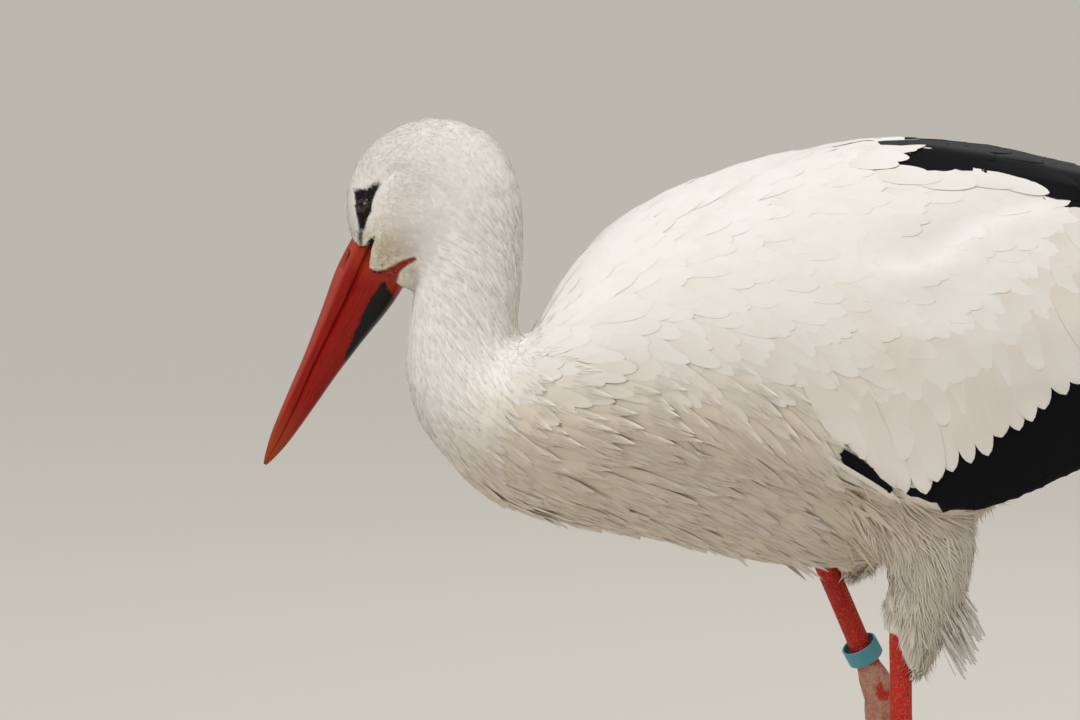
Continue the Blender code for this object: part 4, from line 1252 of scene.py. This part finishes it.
# ---------------------------------------------------------------- smooth bodies
def tube(name, rings, closed=True, **marks):
    """A skin over rings of points, its ends drawn together. marks are values for each point, ring by ring."""
    rings = np.array(rings)
    count, sides, _ = rings.shape
    verts = [tuple(p) for p in rings.reshape(-1, 3)]
    faces = [(i * sides + k, i * sides + (k + 1) % sides, (i + 1) * sides + (k + 1) % sides, (i + 1) * sides + k)
             for i in range(count - 1) for k in range(sides)]
    if closed:
        verts += [tuple(rings[0].mean(0)), tuple(rings[-1].mean(0))]
        faces += [((k + 1) % sides, k, len(verts) - 2) for k in range(sides)]
        last = (count - 1) * sides
        faces += [(last + k, last + (k + 1) % sides, len(verts) - 1) for k in range(sides)]
    mesh = mesh_of(name, verts, faces)
    with reworked(mesh) as work:
        bmesh.ops.recalc_face_normals(work, faces=work.faces)
    for key, values in marks.items():
        values = np.array(values).reshape(count, sides)
        flat = list(values.ravel()) + ([values[0].mean(), values[-1].mean()] if closed else [])
        write(mesh, key, flat)
    mesh.shade_smooth()
    return link(name, mesh)


def place_piece(piece, slot, finish, *stands_for):
    """Gives a finished piece its material and its body, and the solids that it stands for. slot is not used."""
    piece.data.materials.clear()
    piece.data.materials.append(finish)
    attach(piece, BODY)
    if stands_for:
        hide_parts(*stands_for)


def bill_ring(t, upper):
    """One ring round a half of the bill, at a share t of its length, with the height of each point over the bill's
    middle and how deep it lies in the nostril."""
    about = t + 0.05 * min(1, 12 * (1 - t)) * np.array((-1, -0.5, 0, 0.5, 1))
    deep, wide, seam = (np.interp(about, BILL_SECTIONS[:, 0], BILL_SECTIONS[:, c]).mean() for c in (1, 2, 3))
    ring, levels, slits = [], [], []
    for k in range(BILL_SIDES):
        angle = 2 * math.pi * k / BILL_SIDES
        c, s = math.cos(angle), math.sin(angle)
        slit = 0.0
        if s < 0:       # the inside, where the halves face each other
            level = seam + (0.012 if upper else -0.012)
            spread = c * 0.93
        else:           # the outside, from one edge over the ridge or keel to the other
            spread = math.copysign(abs(c) ** 0.80, c)
            if upper:
                level = seam + (1 - seam) * s ** 0.92
                spread *= 1 - 0.10 * bump(level - 0.78, 0.10) * ease(t, 0.62, 0.30)
                level += 0.035 * bump(c, 0.20) * ease(t, 0.0, 0.1) * ease(t, 1.0, 0.9)
            else:
                level = seam - (1 + seam) * s ** 0.92
                spread *= 1 - 0.05 * bump(level + 0.45, 0.15) * ease(t, 0.6, 0.3)
            spread *= 1 - 0.07 * bump(s, 0.10)
        if upper and s > 0:
            start, end, high = NOSTRIL
            slit = (bump(level - high + 0.6 * (t - start), 0.05) * ease(t, start - 0.012, start + 0.008)
                    * ease(t, end + 0.012, end - 0.012) * (abs(c) > 0.15))
            spread *= 1 - 0.55 * slit
        ring.append(BILL_ROOT + BILL_WAY * (t * BILL_LENGTH) + RIDGE_WAY * (level * deep)
                    + ACROSS * (spread * wide))
        levels.append(level)
        slits.append(slit)
    return ring, levels, slits


def bill_half(word, finish):
    """The upper or the lower half of the bill, closed all round."""
    shares = np.concatenate([np.linspace(-0.10, 0.16, 46), np.linspace(0.16, 1, 70)[1:]])
    rings, levels, slits = zip(*(bill_ring(t, word == "upper") for t in shares))
    reach, level = np.repeat(shares, BILL_SIDES), np.array(levels).ravel()
    gular = np.minimum(np.interp(reach, *GULAR_TOP.T) - level, (reach - np.interp(level, *GULAR_ROOT.T)) * 8)
    half = tube(f"bill_{word}_horn", rings, reach=reach, level=level, slit=slits, gular=gular)
    place_piece(half, "bill", finish, f"bill_{word}")


# ---------------------------------------------------------------- eyes
def eye_frame(side):
    """Centre of the eyeball, the way it looks, and two ways across it: along the opening of the lids, and up."""
    gaze = (ACROSS * (0.94 * side) + AHEAD * 0.34).normalized()
    along = (AHEAD - gaze * AHEAD.dot(gaze)).normalized()
    along = (along * math.cos(0.45) + Vector((0, 0, -1)) * math.sin(0.45)).normalized()
    along = (along - gaze * along.dot(gaze)).normalized()
    above = gaze.cross(along)
    above = above if above.z > 0 else -above
    return EYE_SPOT["left" if side < 0 else "right"], gaze, along, above


def eyeball(word, side, finish):
    """The front of the eyeball, with the cornea as a low dome on it."""
    centre, gaze, along, above = eye_frame(side)
    rings, angles = [], []
    for t in np.linspace(0.02, math.pi * 0.62, 30):
        dome = 1 + 0.045 * bump(t, 0.50)
        rings.append([centre + (gaze * math.cos(t) + (along * math.cos(p) + above * math.sin(p)) * math.sin(t))
                      * (EYE_RADIUS * dome) for p in np.linspace(0, 2 * math.pi, 40, endpoint=False)])
        angles.append([t] * 40)
    ball = tube(f"eyeball_{word}", rings, angle=angles)
    place_piece(ball, "eye", finish, f"eye_{word}")


LID_ROWS = (
    # times the opening, height over the ball or the skin, share that follows the skin
    (0.90, -0.0006, 0.0), (0.97, 0.0001, 0.0), (1.02, 0.0006, 0.0), (1.09, 0.0009, 0.0), (1.16, 0.0006, 0.1),
    (1.22, 0.0003, 0.3), (1.30, 0.0006, 0.5), (1.38, 0.0007, 0.7), (1.46, 0.0003, 0.9), (1.55, 0.0002, 1.0),
    (1.66, -0.0006, 1.0),
)
LID_OPENING = (0.0048, 0.0029)      # half length and half height


def lids(word, side, skin, finish):
    """Two bare lids round the eye: a rolled rim, a fold, and wrinkles that run out into the patch."""
    centre, gaze, along, above = eye_frame(side)
    tree = surface_tree(skin)
    rings, steps = [], 96
    for wide, high, follow in LID_ROWS:
        ring = []
        for p in np.linspace(0, 2 * math.pi, steps, endpoint=False):
            c, s = math.cos(p), math.sin(p)
            pinch = 1 - 0.22 * abs(c) ** 6
            x = LID_OPENING[0] * wide * math.copysign(abs(c) ** 0.9, c)
            y = LID_OPENING[1] * wide * math.copysign(abs(s) ** 1.15, s) * pinch
            if s > 0:
                y *= 0.80       # the upper lid hangs lower
            fine = 0.00012 * math.sin(17 * p + 3 * wide) + 0.00010 * math.sin(31 * p - 7 * wide)
            lift = high + fine * (wide > 1.15) + (0.0004 * (s > 0.2) * bump(wide - 1.15, 0.2))
            away = min(math.hypot(x, y), EYE_RADIUS * 0.97)
            way = (gaze * math.sqrt(EYE_RADIUS ** 2 - away ** 2) + along * x + above * y).normalized()
            on_ball = centre + way * (EYE_RADIUS * 1.02 + lift)
            hit, normal, _, _ = tree.find_nearest(centre + gaze * EYE_RADIUS + along * x + above * y)
            ring.append(on_ball.lerp(hit + normal * lift, follow))
        rings.append(ring)
    made = tube(f"lids_{word}", rings, closed=False, rim=np.repeat([row[0] for row in LID_ROWS], steps))
    with reworked(made.data) as work:
        face = min(work.faces, key=lambda f: (f.calc_center_median() - centre - gaze * EYE_RADIUS).length)
        if face.normal.dot(gaze) < 0:
            bmesh.ops.reverse_faces(work, faces=work.faces)
    made.data.shade_smooth()
    place_piece(made, "black_plumage", finish)


# ---------------------------------------------------------------- legs, claws and the ring
def shin_root(word, length=0.030):
    """A short length of leg that carries the shin up under the feathers."""
    top, rise, radius = shin_top(word)
    root = bmesh.new()
    turn = rise.to_track_quat("Z", "Y").to_matrix().to_4x4()
    place = Matrix.Translation(top + rise * (length / 2 - 0.004)) @ turn
    bmesh.ops.create_cone(root, cap_ends=True, segments=24, radius1=radius * 0.97, radius2=radius * 0.88,
                          depth=length, matrix=place)
    return root


def smooth_piece(name, nodes, grain, rounds, slot, finish, root=None):
    """A finished piece that stands for several of the solids as one smooth body."""
    made = one_body(name, nodes, grain, rounds, root)
    made.data.shade_smooth()
    place_piece(made, slot, finish, *nodes)
    return made


def chalked(leg, ankle):
    """Marks how much dried chalk each point of a leg carries: none on the shin, most below the ankle, less again
    near the foot."""
    z = coordinates(leg.data)[:, 2]
    write(leg.data, "chalk", ease(z, ankle + 0.030, ankle + 0.012) * (0.55 + 0.45 * ease(z, 0.02, 0.09)))


def leg_band(finish):
    """The ring on the far leg: a plastic band with rounded edges and a closing seam."""
    band = coordinates(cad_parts["leg_ring"].data)
    middle = band.mean(0)
    _, _, ways = np.linalg.svd(band - middle)
    out_a, out_b, lean = (Vector(w) for w in ways)
    away = band - middle
    high = np.abs(away @ ways[2]).max()
    far = np.sqrt((away @ ways[0]) ** 2 + (away @ ways[1]) ** 2)
    outer, inner = far.max(), far.min()
    soft = 0.0005
    profile, edges = [], []
    for radius, height, turns in (
            (outer - soft, high - soft, (90, 0)), (outer - soft, -high + soft, (0, -90)),
            (inner + soft, -high + soft, (-90, -180)), (inner + soft, high - soft, (180, 90))):
        for angle in np.radians(np.linspace(*turns, 5)):
            profile.append((radius + soft * math.cos(angle), height + soft * math.sin(angle)))
            edges.append(bump(abs(height + soft * math.sin(angle)) - high, 0.0006))
    rings, steps = [], 96
    for r, h in profile:
        ring = []
        for k in range(steps):
            angle = 2 * math.pi * k / steps
            dent = 0.00045 if k == 30 and r > (outer + inner) / 2 else 0.0
            way = out_a * math.cos(angle) + out_b * math.sin(angle)
            ring.append(Vector(middle) + way * (r - dent) + lean * h)
        rings.append(ring)
    rings.append(rings[0])
    worn = [[e] * steps for e in (*edges, edges[0])]
    made = tube("leg_band", rings, closed=False, edge=worn)
    with reworked(made.data) as work:
        bmesh.ops.remove_doubles(work, verts=work.verts, dist=WELD)
        bmesh.ops.recalc_face_normals(work, faces=work.faces)
    made.data.shade_smooth()
    place_piece(made, "ring", finish, "leg_ring")


# ---------------------------------------------------------------- stage
LAMPS = (
    # name, place, size, watts; each shines at the middle of the bird
    ("key", (-1.15, -1.25, 1.45), 0.9, 10), ("rim", (0.8, 2.4, 2.6), 1.8, 14), ("fill", (2.6, -1.1, 2.4), 1.8, 15),
)


def studio():
    """A wide pale floor, an even sky, one high soft sun and three lamps."""
    floor_data = bpy.data.meshes.new("floor")
    with reworked(floor_data) as sheet:
        bmesh.ops.create_grid(sheet, x_segments=2, y_segments=2, size=60)
    floor = link("floor", floor_data)
    floor_data.materials.append(finish_named("pale_paper", (0.66, 0.62, 0.55), 0.9)[0])
    world = bpy.data.worlds.new("studio")
    world.use_nodes = True
    sky = world.node_tree.nodes["Background"].inputs
    sky["Color"].default_value, sky["Strength"].default_value = (0.93, 0.95, 1.0, 1), 0.32
    bpy.context.scene.world = world
    sun = bpy.data.lights.new("overhead", "SUN")
    sun.energy, sun.angle, sun.color = 1.62, math.radians(25), (1.0, 0.975, 0.94)
    link("overhead", sun).rotation_euler = Vector((0.08, 0.38, -1.0)).to_track_quat("-Z", "Y").to_euler()
    for name, place, size, power in LAMPS:
        lamp = bpy.data.lights.new(name, "AREA")
        lamp.shape, lamp.size, lamp.energy = "DISK", size, power
        hung = link(name, lamp)
        hung.location = place
        hung.rotation_euler = (Vector((0, 0, 0.45)) - Vector(place)).to_track_quat("-Z", "Y").to_euler()


def camera():
    """A long lens, level with the bird's back and a little above it."""
    data = bpy.data.cameras.new("camera")
    data.sensor_width, data.lens = 36, 238.1
    rise, away = math.radians(5), 5
    back = Vector((0, -math.cos(rise), math.sin(rise)))
    seen_from = link("camera", data)
    seen_from.location = Vector((-0.1729, 0, 0.4890)) + back * away
    seen_from.rotation_euler = (-back).to_track_quat("-Z", "Y").to_euler()
    bpy.context.scene.camera = seen_from
    bpy.context.scene.view_settings.view_transform = "Standard"


# ---------------------------------------------------------------- the bird
ZONES = (
    # piece, zone, shapes, spacing, wide, stand, base, ruffle, soft
    ("coat_head", "head", "tufts", 0.0008, 1.0, 1.0, -0.0005, 0.16, 0.8),
    ("coat_face", "face", "tufts", 0.0009, 0.7, 2.2, -0.0004, 0.30, 0.3),
    ("coat_neck", "neck", "plumes", 0.0022, 1.0, 1.0, -0.0004, 0.10, 0.92),
    ("coat_breast", "breast", "plumes", 0.0064, 1.0, 1.0, -0.0005, 0.14, 0.35),
    ("coat_back", "back", "vanes", 0.0066, 0.85, 0.6, 0.0001, 0.12, 0.97),
    ("coat_belly", "belly", "plumes", 0.0066, 1.0, 1.0, -0.0005, 0.16, 0.4),
    ("coat_thighs", "thigh", "plumes", 0.0028, 1.0, 1.0, -0.0005, 0.22, 0.5),
    ("coat_thigh_hairs", "thigh", "tufts", 0.0024, 1.1, 1.5, -0.0005, 0.45, 0.4),
    ("coat_wings", "wing", "vanes", 0.0066, 0.85, 0.6, 0.0001, 0.12, 0.97),
    ("coat_wings_black", "black", "vanes", 0.0074, 1.0, 1.0, -0.0002, 0.08, 0.85),
    ("coat_tail", "tail", "vanes", 0.0075, 1.0, 0.8, 0.0, 0.10, 0.9),
)
# The wing's white rows, each over the one below it.
COVERT_ROWS = (
    # row, share of the line of tips where it starts, how far above that line, length, width, depth, painted shade
    # as cream, soft, vary
    ("greater", 0.0, 0.0, 0.070, 0.018, 0.0036, 0.30, 0.70, 0.2),
    ("median", 0.20, 0.030, 0.046, 0.022, 0.0020, 0.25, 0.92, 0.3),
    ("lesser", 0.30, 0.050, 0.040, 0.022, 0.0014, 0.20, 0.97, 0.4),
)
COVERTS_IN_ROW, FLIGHTS, SHOULDERS = 26, 15, 9
FLIGHT_TIPS = ((0.150, 0.392), (0.205, 0.412), (0.255, 0.448), (0.300, 0.486), (0.340, 0.520), (0.362, 0.542))
SHOULDER_TIPS = ((0.20, 0.610), (0.26, 0.592), (0.32, 0.570), (0.360, 0.553))
SHOULDER_HEM = (
    # x and z of the tip, lean, length, width
    (0.0971, 0.6405, 4, 0.045, 0.013), (0.0900, 0.6360, 4, 0.040, 0.014), (0.0835, 0.6320, 3, 0.036, 0.014),
    (0.0760, 0.6280, 2, 0.034, 0.014), (0.1050, 0.6180, 5, 0.045, 0.015), (0.1300, 0.6150, 6, 0.045, 0.016),
    (0.1560, 0.6125, 12, 0.045, 0.016), (0.1790, 0.6075, 18, 0.045, 0.016),
)


def grown_zones(skin):
    """The feathers that cover each zone, scattered over the skin."""
    for seed, (piece, zone, kind, spacing, wide, stand, base, ruffle, soft) in enumerate(ZONES, 1):
        dark = zone in ("black", "face")
        feathers(piece, skin, "black_plumage" if dark else "white_plumage", Skin=skin, Shapes=SHAPES[kind],
                 Zone=f"grow_{zone}", Spacing=spacing, Most=1 / spacing ** 2, Wide=wide, Stand=stand, Base=base,
                 Ruffle=ruffle, Soft=soft, Reach=0.010 if zone == "thigh" else 0.022, Seed=seed,
                 Finish=BLACK if dark else WHITE)


def white_rows():
    """The coverts in their rows, the pale edge below them and the feathers that end over the black shoulder."""
    lean = np.interp(np.arange(COVERTS_IN_ROW), (0, 5, 12, 17, 25), (60, 76, 76, 58, 34))
    for seed, (row, start, higher, length, width, depth, cream, soft, vary) in enumerate(COVERT_ROWS, 31):
        tips = [(x - higher * math.cos(slant), z + higher * math.sin(slant)) for (x, z), slant in zip(
            along_line(ROW_TIPS, COVERTS_IN_ROW, start, 0.96), np.radians(lean))]
        row_of_feathers(f"{row}_coverts", "white_plumage", tips, lean, length, width, depth, cream,
                        Shapes=SHAPES["coverts"], Ruffle=0.04, Soft=soft, Vary=vary, Reach=0.03, Seed=seed,
                        Base=0.0003, Finish=WHITE)
    row_of_feathers("wing_sliver", "black_plumage", ((0.0670, 0.4060), (0.0700, 0.4050)), (41, 38), 0.042,
                    (0.010, 0.012), 0.0014, Shapes=SHAPES["quills"], Ruffle=0.0, Vary=0.0, Seed=41, Base=0.0020,
                    Finish=BLACK)
    # The pale edge takes painted shade too, as cream 0.2.
    row_of_feathers("wing_hem", "white_plumage", ((0.0821, 0.3978),), 30, 0.064, 0.0046, 0.0020, 0.2,
                    Shapes=SHAPES["coverts"], Ruffle=0.0, Vary=0.0, Seed=43, Base=0.0028, Finish=WHITE)
    x, z, lean, length, width = zip(*SHOULDER_HEM)
    row_of_feathers("shoulder_hem", "white_plumage", list(zip(x, z)), lean, length, width, 0.0012,
                    Shapes=SHAPES["vanes"], Ruffle=0.0, Vary=0.0, Soft=0.95, Seed=45, Base=0.0006, Finish=WHITE)


def black_rows():
    """The long stiff feathers of the wing and of the shoulder."""
    stiff = {"Shapes": SHAPES["quills"], "Ruffle": 0.02, "Vary": 0.3, "Reach": 0.04, "Finish": BLACK}
    row_of_feathers("flight_feathers", "black_plumage", along_line(FLIGHT_TIPS, FLIGHTS),
                    np.interp(np.arange(FLIGHTS), (0, 5, 14), (20, 12, 8)), np.linspace(0.11, 0.20, FLIGHTS),
                    0.028, 0.0040, Seed=33, **stiff)
    row_of_feathers("shoulder_feathers", "black_plumage", along_line(SHOULDER_TIPS, SHOULDERS),
                    np.linspace(12, 16, SHOULDERS), np.linspace(0.10, 0.17, SHOULDERS), 0.030, 0.0046, Seed=35,
                    **stiff)


skin = one_body("skin", FLESH, SKIN_GRAIN, 5)
shape_head(skin)
shape_wings(skin)
shape_thighs(skin)
lay_out_coat(skin)
skin.data.materials.append(skin_finish())
skin.data.shade_smooth()

LAY = feather_tree()
WHITE, BLACK = white_feather(), black_feather()
SHAPES = {name: shape_box(name, meshes) for name, meshes in (
    ("tufts", tuft_shapes()), ("plumes", vane_shapes("plume", 5, 5, lance, 0.42, 6, 5, 0.10, frayed=True)),
    ("vanes", vane_shapes("vane", 7, 4, rounded_blade, 0.30, 8, 7, 0.05)), ("quills", quill_shapes()),
    ("coverts", vane_shapes("covert", 9, 3, blunt_blade, 0.34, 12, 9, 0.05)))}
WINGS = wing_part(skin)
grown_zones(skin)
white_rows()
black_rows()
loose_plumes(skin)
keel_plumes(skin)
bpy.data.objects.remove(WINGS)

horn, ball, lid, scales, claw = bill_horn(), wet_eye(), lid_skin(), leg_scales(), claw_horn()
for word in ("upper", "lower"):
    bill_half(word, horn)
for word, side in SIDES:
    eyeball(word, side, ball)
    lids(word, side, skin, lid)
    leg = smooth_piece(f"leg_{word}", [f"{part}_{word}" for part in ("shin", "shank", "foot")], LEG_GRAIN, 6,
                       "leg_skin", scales, shin_root(word))
    chalked(leg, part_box(f"shin_{word}")[0].z - 0.012)
    smooth_piece(f"claws_{word}", [f"claw_{word}_{toe}" for toe in ("middle", "inner", "outer", "hind")],
                 CLAW_GRAIN, 3, "claw", claw)
leg_band(ring_plastic())
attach(skin, BODY)
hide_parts(*FLESH)
studio()
camera()
